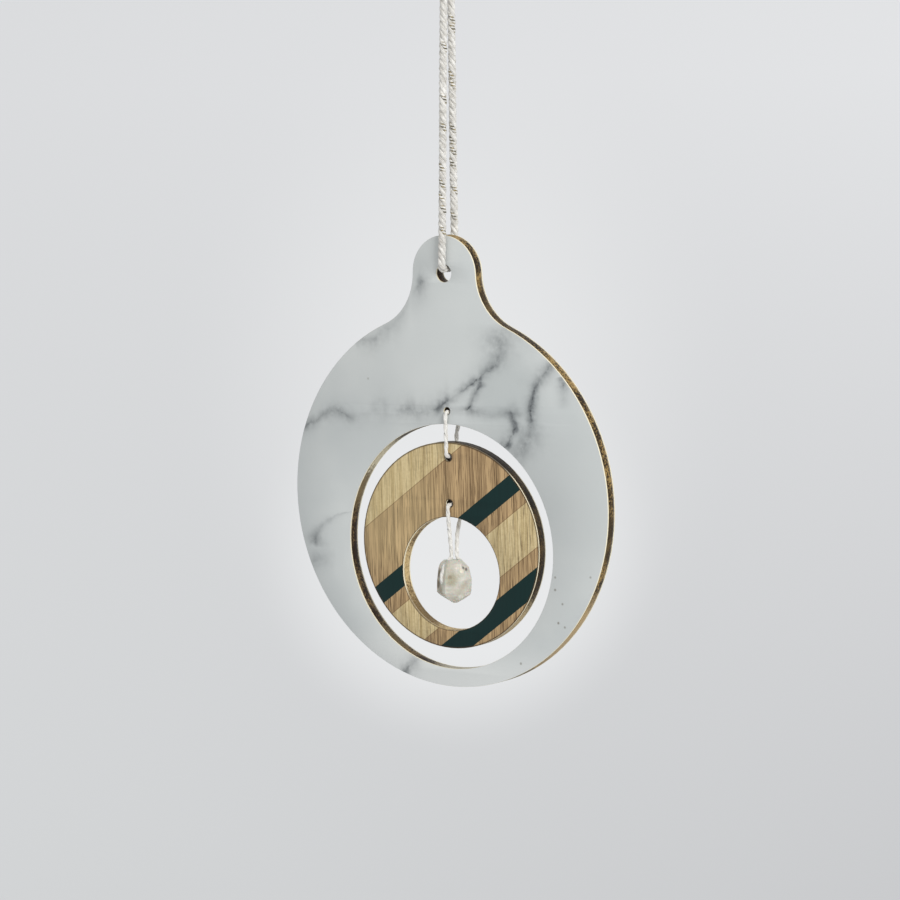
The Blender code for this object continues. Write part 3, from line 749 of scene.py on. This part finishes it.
# %% [markdown]
# ## Oak veneer with painted bands
# The ring is faced with straight-grained oak, its grain upright. Over it, slanting bands are painted: two of dark
# green, flat and opaque, and two of thin gold that lets the grain through. Oak's pores are short dark dashes, so the
# noise is stretched along the grain. The bands are a ramp across the slant, with hard steps where the masking was.

# %% Bands, in mm from the ring's centre across the slant, from the bottom up
BAND_SLANT_DEG = 36.8
RING_CENTRE_MM = -157.2
BAND_REACH_MM = 30.0
BANDS = [
    (-30.0, "oak"), (-25.2, "green"), (-19.6, "oak"), (-15.7, "line"), (-15.45, "gold"), (-4.3, "line"),
    (-4.1, "oak"), (-0.5, "green"), (4.4, "oak"), (18.65, "line"), (18.95, "gold"),
]
PAINTS = {"oak": (0, 0, 0, 1), "gold": (1, 0, 0, 1), "green": (0, 1, 0, 1), "line": (0, 0, 1, 1)}
# Each layer of grain: changes per mm across, through and along it, then the noise's detail and roughness
OAK_GRAIN = {
    "growth": ((0.70, 0.05, 0.010), 2.0, 0.5),
    "fibres": ((3.5, 1.0, 0.05), 4.0, 0.75),
    "pores": ((4.4, 1.0, 0.13), 2.0, 0.5),
}
# The hot beam scorched the veneer beside its cuts, fully in the first part of the scorch's width
SCORCH_MM = 0.5
SCORCH_CORE = 0.4
SCORCH_MOST = 0.85
# Each cut: its centre from the ring's, its radius, and on which side the wood is
SCORCHED_EDGES = [(0, 0, 27.5, -1), (0, -7.55, 15.15, 0.5), (0, 23.5, 1.05, 0.6), (0, 11.2, 1.05, 0.6)]


# %% Oak finish
def oak(name):
    """Oak veneer, upright grain, with its gold and green bands, and a painted highlight on the upper left."""
    material, tree, shader = new_finish(name, Roughness=0.5, IOR=1.45, Specular_IOR_Level=0.3)
    wood = in_mm(tree, RING_REST_TURN_DEG, RING_CENTRE_MM)
    grain = {}
    for layer, (stretch, detail, rough) in OAK_GRAIN.items():
        stretched = add(tree, "ShaderNodeMapping", {"Vector": wood, "Scale": stretch})
        grain[layer] = noise(tree, stretched, 1.0, detail, rough)
    tone = arith(tree, "MULTIPLY_ADD", grain["growth"], 0.6, grain["fibres"])
    light = ramp(tree, tone, 0.66, 0.90)
    bare = mix(tree, light, "#826A4B", "#B99C73")
    open_pore = ramp(tree, grain["pores"], 0.55, 0.62, most=0.9)
    bare = mix(tree, open_pore, bare, "#56412A")

    slant = math.radians(BAND_SLANT_DEG)
    uphill = (-math.sin(slant), 0, math.cos(slant))
    across = vector_arith(tree, "DOT_PRODUCT", wood, uphill)
    share = ramp(tree, across, -BAND_REACH_MM, BAND_REACH_MM)
    masks = add(tree, "ShaderNodeValToRGB", {0: share})
    masks.color_ramp.interpolation = "CONSTANT"
    stops = masks.color_ramp.elements
    for i, (start, paint) in enumerate(BANDS):
        at = (start + BAND_REACH_MM) / (2 * BAND_REACH_MM)
        stop = stops[i] if i < 2 else stops.new(at)
        stop.position = at
        stop.color = PAINTS[paint]
    painted = add(tree, "ShaderNodeSeparateColor", {0: masks.outputs["Color"]})

    rubbed = noise(tree, wood, 1.3, 4.0, 0.7)
    in_pores = ramp(tree, grain["pores"], 0.56, 0.66, 1.0, 0.30)
    cover = ramp(tree, rubbed, 0.28, 0.58, 0.55, 0.92)
    cover = arith(tree, "MULTIPLY", cover, in_pores)
    gold_tone = mix(tree, light, "#B8A273", "#DCCB9F")
    gilded = mix(tree, cover, bare, gold_tone)
    colour = mix(tree, painted.outputs[0], bare, gilded)
    # A painted highlight: a pale gold spot makes the upper left of the ring's face brighter
    colour = lay_stains_and_painted_light(tree, colour, wood, [((-18.0, 0, 8.0), 24.0, "#E6D09A", 0.20)])
    green_tone = mix(tree, grain["fibres"], "#001C1B", "#042B29")
    colour = mix(tree, painted.outputs[1], colour, green_tone)
    seam = arith(tree, "MULTIPLY", painted.outputs[2], 0.45)
    colour = mix(tree, seam, colour, "#6B5334")
    flat = vector_arith(tree, "MULTIPLY", wood, (1, 0, 1))
    for x, z, radius, outwards in SCORCHED_EDGES:
        away = vector_arith(tree, "DISTANCE", flat, (x, 0, z))
        faint, full = radius + outwards * SCORCH_MM, radius + outwards * SCORCH_CORE * SCORCH_MM
        scorched = ramp(tree, away, faint, full, most=SCORCH_MOST)
        colour = mix(tree, scorched, colour, "#3E2C18")
    metal = arith(tree, "MULTIPLY", painted.outputs[0], 0.22)
    bump = add(tree, "ShaderNodeBump", {"Height": grain["fibres"], "Strength": 0.3, "Distance": 0.00006})
    feed(tree, shader, Base_Color=colour, Metallic=metal, Normal=bump)
    return material


oak_veneer = oak("straight_grained_oak")
print("bands:", [paint for _, paint in BANDS if paint != "line"])

# %% [markdown]
# ## Sawn edges, burnt and gilded
# The boards were cut out with a hot beam, which leaves dark brown walls. Gold leaf size was dabbed on the plate's
# outer edge and in the ring's hole, and stays on the high spots. The facings' thin edges stay cream, as a bright
# line along each arris. The pattern tells core from facing by how far it lies from the board's middle.

# %% Edge finish
GILT_GRAIN_MM = 0.55
CREAM_LINE_MM = 1.27
# Worn, bare or darker places on a wall: middle, reach, colour, most
RIM_PATCHES = [
    ((15.0, 0, -96.0), 15.0, "#3A2D1B", 0.75), ((49.0, 0, -153.0), 12.0, "#3A2E1C", 0.70),
    ((36.0, 0, -180.0), 19.0, "#BEA57C", 0.75),
]
OPENING_PATCHES = [
    ((-23.0, 0, -134.0), 10.0, "#CFC5A8", 0.95), ((-29.0, 0, -144.0), 8.0, "#84724F", 0.70),
    ((2.0, 0, -190.0), 11.0, "#B4AF9E", 0.90), ((-20.0, 0, -184.0), 7.0, "#7A6948", 0.55),
]
RING_RIM_PATCHES = [((18.0, 0, -179.0), 13.0, "#C6B187", 0.90)]
RING_HOLE_PATCHES = [((-11.0, 0, -177.5), 11.0, "#6A5535", 0.85)]
# Where the beam burnt the cream line too: middle and reach
RING_RIM_BURN = ((9.0, 0, -132.0), 13.0)
RING_HOLE_BURN = ((-9.0, 0, -179.0), 12.0)


def board_edge(name, dark, bright, gold_from, gold_to, metal_share, turn_deg=0.0, patches=(), burn=None):
    """A board's wall: burnt or gilded in the middle, with worn patches, and a cream line at each face."""
    material, tree, shader = new_finish(name, Roughness=0.48, Specular_IOR_Level=0.15)
    wall = in_mm(tree, turn_deg)
    axes = add(tree, "ShaderNodeSeparateXYZ", {0: wall})
    spots = noise(tree, wall, 1 / GILT_GRAIN_MM, 3.0, 0.7)
    drift = noise(tree, wall, 0.17)
    both = arith(tree, "MULTIPLY_ADD", drift, 0.8, spots)
    gold = ramp(tree, both, gold_from, gold_to)
    middle = mix(tree, gold, dark, bright)
    middle = lay_stains_and_painted_light(tree, middle, sway(tree, wall, wall, 1.5, 11.0), patches)
    depth = arith(tree, "ABSOLUTE", axes.outputs[1])
    ragged = arith(tree, "MULTIPLY_ADD", spots, -0.35, depth)
    cream = ramp(tree, ragged, CREAM_LINE_MM - 0.2, CREAM_LINE_MM - 0.05)
    if burn:
        away = vector_arith(tree, "DISTANCE", wall, burn[0])
        whole = ramp(tree, away, 0.7 * burn[1], burn[1], 0.15)
        cream = arith(tree, "MULTIPLY", cream, whole)
    colour = mix(tree, cream, middle, "#E6DCC0")
    bare = arith(tree, "SUBTRACT", 1.0, cream)
    metal = arith(tree, "MULTIPLY", gold, metal_share)
    metal = arith(tree, "MULTIPLY", metal, bare)
    bump = add(tree, "ShaderNodeBump", {"Height": spots, "Strength": 0.6, "Distance": 0.00012})
    feed(tree, shader, Base_Color=colour, Metallic=metal, Normal=bump)
    return material


gilded_edge = board_edge("gilded_burnt_edge", "#2A1F12", "#B0925B", 0.86, 1.05, 0.4, patches=RIM_PATCHES)
burnt_edge = board_edge("burnt_edge", "#2A1C10", "#6E5330", 0.86, 1.16, 0.2)
opening_edge = board_edge("burnt_edge_of_opening", "#2A1C10", "#826A45", 0.88, 1.06, 0.2, patches=OPENING_PATCHES)
ring_edge = board_edge(
    "burnt_edge_of_ring", "#221A0F", "#6A5534", 0.88, 1.20, 0.2, RING_REST_TURN_DEG, RING_RIM_PATCHES, RING_RIM_BURN)
bright_gilding = board_edge(
    "bright_gilded_wall", "#5A4425", "#D2B886", 0.74, 0.98, 0.4, RING_REST_TURN_DEG, RING_HOLE_PATCHES,
    RING_HOLE_BURN)

# %% [markdown]
# ## The boards
# Each board's outline is read from its own solid, so it can't drift from it. The outline becomes a flat curve with
# its holes, given the board's thickness and a very small round on its edges: a real arris is never knife-sharp, and
# the round is what catches the light. Then faces and walls get their own finishes.


# %% Outlines of a board
# A face that points this squarely to the front or back is a board's face, and any other is its wall
SQUARE_ON = 0.9


def outline_loops(node):
    """The closed outlines of a flat board, read from its solid's front face."""
    shape = bmesh.new()
    shape.from_mesh(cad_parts[node].data)
    bmesh.ops.remove_doubles(shape, verts=shape.verts, dist=1e-6)
    shape.normal_update()
    # A dict keeps the faces in their own order, so every run finds the outlines in the same order
    front = dict.fromkeys(face for face in shape.faces if face.normal.y < -SQUARE_ON)
    step = {}
    for face in front:
        for loop in face.loops:
            others = [other for other in loop.edge.link_faces if other is not face]
            if others and others[0] not in front:
                step[loop.vert] = loop.link_loop_next.vert
    loops = []
    while step:
        start, here = next(iter(step.items()))
        loop = [start]
        del step[start]
        while here is not start:
            loop.append(here)
            here = step.pop(here)
        loops.append([v.co.copy() for v in loop])
    shape.free()
    return loops


# %% A board cut from its outlines
def make_board(node, body, face_finish, walls, arris_mm, turn_deg=0.0):
    """A board with rounded arrises in place of a flat solid. Where two walls' circles overlap, the last one wins."""
    upright = Matrix.Rotation(math.radians(turn_deg), 3, "Z").inverted()
    loops = [[upright @ p for p in loop] for loop in outline_loops(node)]
    depths = [(upright @ v.co).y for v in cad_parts[node].data.vertices]
    curve = bpy.data.curves.new(node + "_cut", "CURVE")
    curve.dimensions = "2D"
    curve.fill_mode = "BOTH"
    curve.bevel_depth = arris_mm * MM
    curve.bevel_resolution = 1
    curve.offset = -arris_mm * MM
    curve.extrude = (max(depths) - min(depths)) / 2 - arris_mm * MM
    for loop in loops:
        spline = curve.splines.new("POLY")
        spline.points.add(len(loop) - 1)
        for point, place in zip(spline.points, loop):
            point.co = (place.x, place.z, 0.0, 1.0)
        spline.use_cyclic_u = True
    drawn = new_object(node + "_cut", curve)
    mesh = finished_mesh(drawn)
    bpy.data.objects.remove(drawn, do_unlink=True)
    middle = Matrix.Translation((0, (max(depths) + min(depths)) / 2, 0))
    mesh.transform(middle @ Matrix.Rotation(math.radians(90), 4, "X"))
    welded = bmesh.new()
    welded.from_mesh(mesh)
    bmesh.ops.remove_doubles(welded, verts=welded.verts, dist=1e-7)
    bmesh.ops.recalc_face_normals(welded, faces=welded.faces)
    welded.to_mesh(mesh)
    welded.free()
    mesh.name = node + "_board"
    mesh.materials.clear()
    for finish in (face_finish, *(wall[0] for wall in walls)):
        mesh.materials.append(finish)
    for polygon in mesh.polygons:
        polygon.use_smooth = True
        if abs(polygon.normal.y) < SQUARE_ON:
            for i, (_, x, z, radius) in enumerate(walls):
                if math.hypot(polygon.center.x / MM - x, polygon.center.z / MM - z) < radius:
                    polygon.material_index = i + 1
    mesh.set_sharp_from_angle(angle=math.radians(50))
    mesh.transform(upright.inverted().to_4x4())
    board = new_object(node + "_board", mesh)
    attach(board, body)
    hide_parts(node)
    print(node, "has", len(loops), "outlines and", len(mesh.polygons), "faces")


# %% Plate and ring boards
# Each wall: its finish, and the circle that it lies in, as x, z and radius in mm
plate_walls = [
    (gilded_edge, 0, DISC_MIDDLE_MM, 80), (opening_edge, 0, -157.55, 33.6), (burnt_edge, 0, -85, 3),
    (burnt_edge, 0, -121.4, 1.4),
]
ring_walls = [(ring_edge, 0, RING_CENTRE_MM, 40), (bright_gilding, 0, -164.75, 15.6)]
CORE_ARRIS_MM, MARBLE_ARRIS_MM, VENEER_ARRIS_MM = 0.06, 0.11, 0.09
make_board("plate_core", "plate", burnt_edge, plate_walls, CORE_ARRIS_MM)
make_board("plate_front_marble", "plate", marble_front, plate_walls, MARBLE_ARRIS_MM)
make_board("plate_back_marble", "plate", marble_back, plate_walls, MARBLE_ARRIS_MM)
make_board("ring_core", "ring", burnt_edge, ring_walls, CORE_ARRIS_MM, RING_REST_TURN_DEG)
make_board("ring_front_veneer", "ring", oak_veneer, ring_walls, VENEER_ARRIS_MM, RING_REST_TURN_DEG)
make_board("ring_back_veneer", "ring", oak_veneer, ring_walls, VENEER_ARRIS_MM, RING_REST_TURN_DEG)

# %% [markdown]
# ## The quartz crystal
# It is a short piece of rough milky quartz, drilled from side to side. Its faces are natural, so no two are alike
# and their edges are worn. It is built from six-sided levels of different widths, and a bevel wears the edges. The
# thread bites into the soft sides, so its own path is cut out of the stone as a groove. Light goes in and scatters
# on small cracks, which look like cloud.

# %% Quartz finish
CRYSTAL_TURN_DEG = 35.0
CRYSTAL_MIDDLE_MM = -167.0
# Soft spots on the stone: where each is, in mm from the crystal's middle, how far it reaches, its colour, and how
# strong it gets
QUARTZ_STAINS_AND_PAINTED_LIGHT = [
    # A real olive stain on the front
    ((-0.8, -2.8, 1.0), 2.6, "#A39D78", 0.60), ((-1.2, -2.8, 1.5), 0.8, "#85745A", 0.60),
    # Painted shade: dark spots down the left side, under the thread
    ((-4.1, -0.2, 2.2), 1.8, "#675A43", 0.85), ((-4.5, 0.2, -0.6), 1.8, "#5B4F3C", 0.85),
    # More painted shade low on the left, and a painted highlight at the top right
    ((-3.7, -0.9, -2.2), 1.4, "#857C62", 0.60), ((1.9, -2.4, 3.1), 0.8, "#F6EDD6", 0.80),
    # Painted highlights on the lower right
    ((1.5, -2.2, -4.0), 1.2, "#F4F2EA", 0.80), ((3.7, -1.2, -3.4), 1.0, "#F4F2EA", 0.70),
    # Painted shadows of the thread on the stone, at the top right
    ((2.3, -1.9, 3.8), 0.6, "#4F4738", 0.85), ((3.1, -1.3, 3.3), 0.7, "#3E382D", 0.85),
]


def milky_quartz(name):
    """Cloudy quartz, partly clear, with an olive stain, painted shade down its left side, painted shadows of the
    thread at the top right, and painted highlights on the right.
    """
    material, tree, shader = new_finish(
        name, Roughness=0.3, IOR=1.544, Transmission_Weight=0.3, Subsurface_Weight=0.2, Subsurface_Scale=0.002)
    stone = in_mm(tree, CRYSTAL_TURN_DEG, CRYSTAL_MIDDLE_MM)
    clouds = noise(tree, stone, 0.30, 4.0, 0.55, 0.6)
    veil = ramp(tree, clouds, 0.34, 0.64)
    colour = mix(tree, veil, "#C6C1B0", "#E2DFD5")
    # The olive stain, painted shade, painted shadows and painted highlights from the table above
    colour = lay_stains_and_painted_light(tree, colour, stone, QUARTZ_STAINS_AND_PAINTED_LIGHT)
    pits = noise(tree, stone, 0.9, 4.0)
    bump = add(tree, "ShaderNodeBump", {"Height": pits, "Strength": 0.5, "Distance": 0.0004})
    feed(tree, shader, Base_Color=colour, Normal=bump)
    return material


# %% Crystal
CRYSTAL_EDGE_MM = 0.18
GROOVE_MM = 1.10
# The thread's route points that lie on or in the stone
BITTEN = slice(8, 25)
# The side corners stand off the middle, and the front face is a little skew, so that no two faces are alike
LEFT_CORNER_MM, RIGHT_CORNER_MM = 0.6, -0.2
FRONT_SKEW = 0.94
# Each level: height, reach to the left and right, half width and reach of the front face, and of the back face
CRYSTAL_LEVELS = [
    (-161.15, 2.7, 1.8, 1.3, 1.2, 1.1, 1.3), (-162.10, 3.8, 2.9, 1.8, 1.9, 1.9, 2.0),
    (-163.30, 4.25, 3.9, 2.2, 2.4, 2.3, 2.4), (-166.60, 4.7, 4.6, 2.6, 2.8, 2.7, 2.7),
    (-169.80, 4.8, 4.35, 2.7, 2.7, 2.8, 2.7), (-170.70, 3.9, 4.0, 2.4, 2.3, 2.5, 2.3),
    (-171.90, 2.0, 2.1, 1.5, 1.4, 1.4, 1.3), (-172.68, 0.8, 0.6, 0.5, 0.5, 0.5, 0.5),
]

shape = bmesh.new()
levels = []
for z, left, right, front_half, front, back_half, back in CRYSTAL_LEVELS:
    corners = [
        (-left, LEFT_CORNER_MM), (-front_half, -front), (front_half, -FRONT_SKEW * front), (right, RIGHT_CORNER_MM),
        (back_half, back), (-back_half, back)]
    levels.append([shape.verts.new(Vector((x, y, z)) * MM) for x, y in corners])
for upper, lower in zip(levels, levels[1:]):
    for i in range(6):
        shape.faces.new((upper[i], lower[i], lower[(i + 1) % 6], upper[(i + 1) % 6]))
shape.faces.new(levels[0])
shape.faces.new(reversed(levels[-1]))
bmesh.ops.recalc_face_normals(shape, faces=shape.faces)
shape.transform(Matrix.Rotation(math.radians(CRYSTAL_TURN_DEG), 4, "Z"))
rough_mesh = bpy.data.meshes.new("crystal_rough")
shape.to_mesh(rough_mesh)
shape.free()
rough = new_object("crystal_rough", rough_mesh)
worn = rough.modifiers.new("worn_edges", "BEVEL")
worn.width, worn.segments, worn.limit_method = CRYSTAL_EDGE_MM * MM, 3, "NONE"
print("crystal levels:", len(levels))

# %% The thread's groove and bore
bitten = [RING_REST_TURN @ Vector(p) * MM for p in CRYSTAL_THREAD_ROUTE[BITTEN]]
path = bpy.data.curves.new("groove", "CURVE")
path.dimensions, path.bevel_depth, path.bevel_resolution = "3D", GROOVE_MM / 2 * MM, 3
path.use_fill_caps = True
spline = path.splines.new("POLY")
spline.points.add(len(bitten) - 1)
for point, spot in zip(spline.points, bitten):
    point.co = (*spot, 1.0)
groove_drawn = new_object("groove_drawn", path)
groove = new_object("groove", finished_mesh(groove_drawn))
cut = rough.modifiers.new("groove", "BOOLEAN")
cut.object, cut.operation, cut.solver = groove, "DIFFERENCE", "EXACT"
crystal_mesh = finished_mesh(rough)
crystal_mesh.name = "quartz_crystal_worn"
for helper in (rough, groove, groove_drawn):
    bpy.data.objects.remove(helper, do_unlink=True)

# %% Slivers out, and the stone's finish
# The cut leaves a few slivers folded flat on themselves. Both sides of each fold are taken out
WELD_MM = 0.02
cleaned = bmesh.new()
cleaned.from_mesh(crystal_mesh)
bmesh.ops.remove_doubles(cleaned, verts=cleaned.verts, dist=WELD_MM * MM)
bmesh.ops.triangulate(cleaned, faces=cleaned.faces)
bmesh.ops.dissolve_degenerate(cleaned, edges=cleaned.edges, dist=WELD_MM * MM / 2)
by_corners = {}
for face in cleaned.faces:
    by_corners.setdefault(frozenset(v.index for v in face.verts), []).append(face)
folded = [face for faces in by_corners.values() if len(faces) > 1 for face in faces]
bmesh.ops.delete(cleaned, geom=folded, context="FACES")
bmesh.ops.recalc_face_normals(cleaned, faces=cleaned.faces)
print("folded faces out:", len(folded), " edges left open:", sum(not edge.is_manifold for edge in cleaned.edges))
cleaned.to_mesh(crystal_mesh)
cleaned.free()
crystal_mesh.materials.clear()
crystal_mesh.materials.append(milky_quartz("rough_milky_quartz"))
crystal_mesh.polygons.foreach_set("use_smooth", [True] * len(crystal_mesh.polygons))
crystal_mesh.set_sharp_from_angle(angle=math.radians(28))
crystal = new_object("quartz_crystal_worn", crystal_mesh)
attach(crystal, "crystal")
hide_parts("quartz_crystal")
print("crystal has", len(crystal_mesh.polygons), "faces")

# %% [markdown]
# ## Floor, sky and lamp
# The ornament hangs in a pale room. A wide paper floor far below closes the picture. Seen directly, the paper mostly
# shows painted light, palest in a pool behind the ornament and darker towards the near side; the rest is its real
# shading, so it still takes a shadow. Most light is soft and comes from everywhere.
# One lamp to the right and above throws the cord's soft shadow on the neck, to the left of the cord.

# %% Floor
FLOOR_Z = -0.330
FLOOR_HALF = 20.0
# The share of painted light in the paper where it is seen directly
PAPER_PAINTED_SHARE = 0.8
STAND_BACK = 1.233
NEAREST = 0.3
# The picture's edges, as slopes from the camera: to either side, and down to the far and the near edge
SIDE_SLOPE = 0.096
FAR_SLOPE, NEAR_SLOPE = 0.040, 0.235
# Painted light on the paper seen directly: far left, far right, near left, near right, and the palest place
PAPER_PAINTED_LIGHT = ["#E0E1E3", "#E9EAEC", "#D0D2D3", "#C2C3C5", "#EEEFF0"]
# Two painted pools of light behind the ornament, as slopes down from the camera: height, squeeze from the sides,
# reach, full reach
GLOWS = [(0.1037, 1.4, 0.088, 0.0), (0.1395, 1.0, 0.046, 0.022)]


def seen_directly(tree):
    """1 where the eye lands on a surface, also by way of metal or glass."""
    seen = add(tree, "ShaderNodeLightPath")
    direct = arith(tree, "ADD", seen.outputs["Is Camera Ray"], seen.outputs["Is Glossy Ray"])
    return arith(tree, "ADD", direct, seen.outputs["Is Transmission Ray"], use_clamp=True)


floor_mesh = bpy.data.meshes.new("floor")
corners = [(x * FLOOR_HALF, y * FLOOR_HALF, FLOOR_Z) for x, y in ((-1, -1), (1, -1), (1, 1), (-1, 1))]
floor_mesh.from_pydata(corners, [], [(0, 1, 2, 3)])
floor = new_object("floor", floor_mesh)
paper, tree, shader = new_finish("pale_paper_floor", Roughness=0.9)
shader.inputs["Base Color"].default_value = light_value("#E9EBED")
place = add(tree, "ShaderNodeTexCoord").outputs["Object"]
sweep = add(tree, "ShaderNodeMapping", {"Vector": place, "Rotation": (0, 0, -math.radians(CAMERA_TURN_DEG))})
apart = add(tree, "ShaderNodeSeparateXYZ", {0: sweep})
away = arith(tree, "ADD", apart.outputs[1], STAND_BACK)
away = arith(tree, "MAXIMUM", away, NEAREST)
side = arith(tree, "DIVIDE", apart.outputs[0], away)
near = arith(tree, "DIVIDE", CAMERA_PLACE.z - FLOOR_Z, away)
to_right = ramp(tree, side, -SIDE_SLOPE, SIDE_SLOPE)
to_front = ramp(tree, near, FAR_SLOPE, NEAR_SLOPE)
back_edge = mix(tree, to_right, PAPER_PAINTED_LIGHT[0], PAPER_PAINTED_LIGHT[1])
front_edge = mix(tree, to_right, PAPER_PAINTED_LIGHT[2], PAPER_PAINTED_LIGHT[3])
tone = mix(tree, to_front, back_edge, front_edge)
flat = add(tree, "ShaderNodeCombineXYZ", {0: side, 1: near})
for up, squeeze, reach, full in GLOWS:
    spot = add(tree, "ShaderNodeMapping", {"Vector": flat, "Location": (0, -up, 0), "Scale": (squeeze, 1, 1)})
    off = vector_arith(tree, "LENGTH", spot)
    glow = ramp(tree, off, reach, full, shape="SMOOTHSTEP")
    tone = mix(tree, glow, tone, PAPER_PAINTED_LIGHT[4])
# Painted light: the paper's pool of light and its darker near side are emitted, not lit
painted_paper_light = add(tree, "ShaderNodeEmission", {"Color": tone, "Strength": 1.0})
share = arith(tree, "MULTIPLY", seen_directly(tree), PAPER_PAINTED_SHARE)
either = add(tree, "ShaderNodeMixShader", {0: share, 1: shader, 2: painted_paper_light})
tree.links.new(either.outputs[0], tree.nodes["Material Output"].inputs["Surface"])
floor_mesh.materials.append(paper)

# %% Sky
SKY_LIGHT = 0.66

world = bpy.data.worlds.new("pale_room")
bpy.context.scene.world = world
world.use_nodes = True
sky = world.node_tree
sky.nodes.clear()
direct = seen_directly(sky)
soft_light = add(sky, "ShaderNodeBackground", {"Color": light_value("#FFFFFF"), "Strength": SKY_LIGHT})
pale_wall = add(sky, "ShaderNodeBackground", {"Color": light_value("#E2E4E6"), "Strength": 1.0})
either = add(sky, "ShaderNodeMixShader", {0: direct, 1: soft_light, 2: pale_wall})
add(sky, "ShaderNodeOutputWorld", {"Surface": either})

# %% Lamp
LAMP_TURN_DEG = 62
LAMP_RISE_DEG = 28
LAMP_AWAY = 1.3
LAMP_WATTS = 10.5

aim = Vector((0, 0, -0.14))
turn, rise = math.radians(LAMP_TURN_DEG), math.radians(LAMP_RISE_DEG)
towards_lamp = Vector((math.sin(turn) * math.cos(rise), -math.cos(turn) * math.cos(rise), math.sin(rise)))
lamp_data = bpy.data.lights.new("side_lamp", "AREA")
lamp_data.shape = "SQUARE"
lamp_data.size = 0.5
lamp_data.energy = LAMP_WATTS
lamp = new_object("side_lamp", lamp_data)
lamp.location = aim + LAMP_AWAY * towards_lamp
lamp.rotation_euler = (-towards_lamp).to_track_quat("-Z", "Y").to_euler()
print("lamp stands", LAMP_AWAY, "m away,", LAMP_TURN_DEG, "degrees to the right")

# %% View settings
bpy.context.scene.view_settings.view_transform = "Standard"
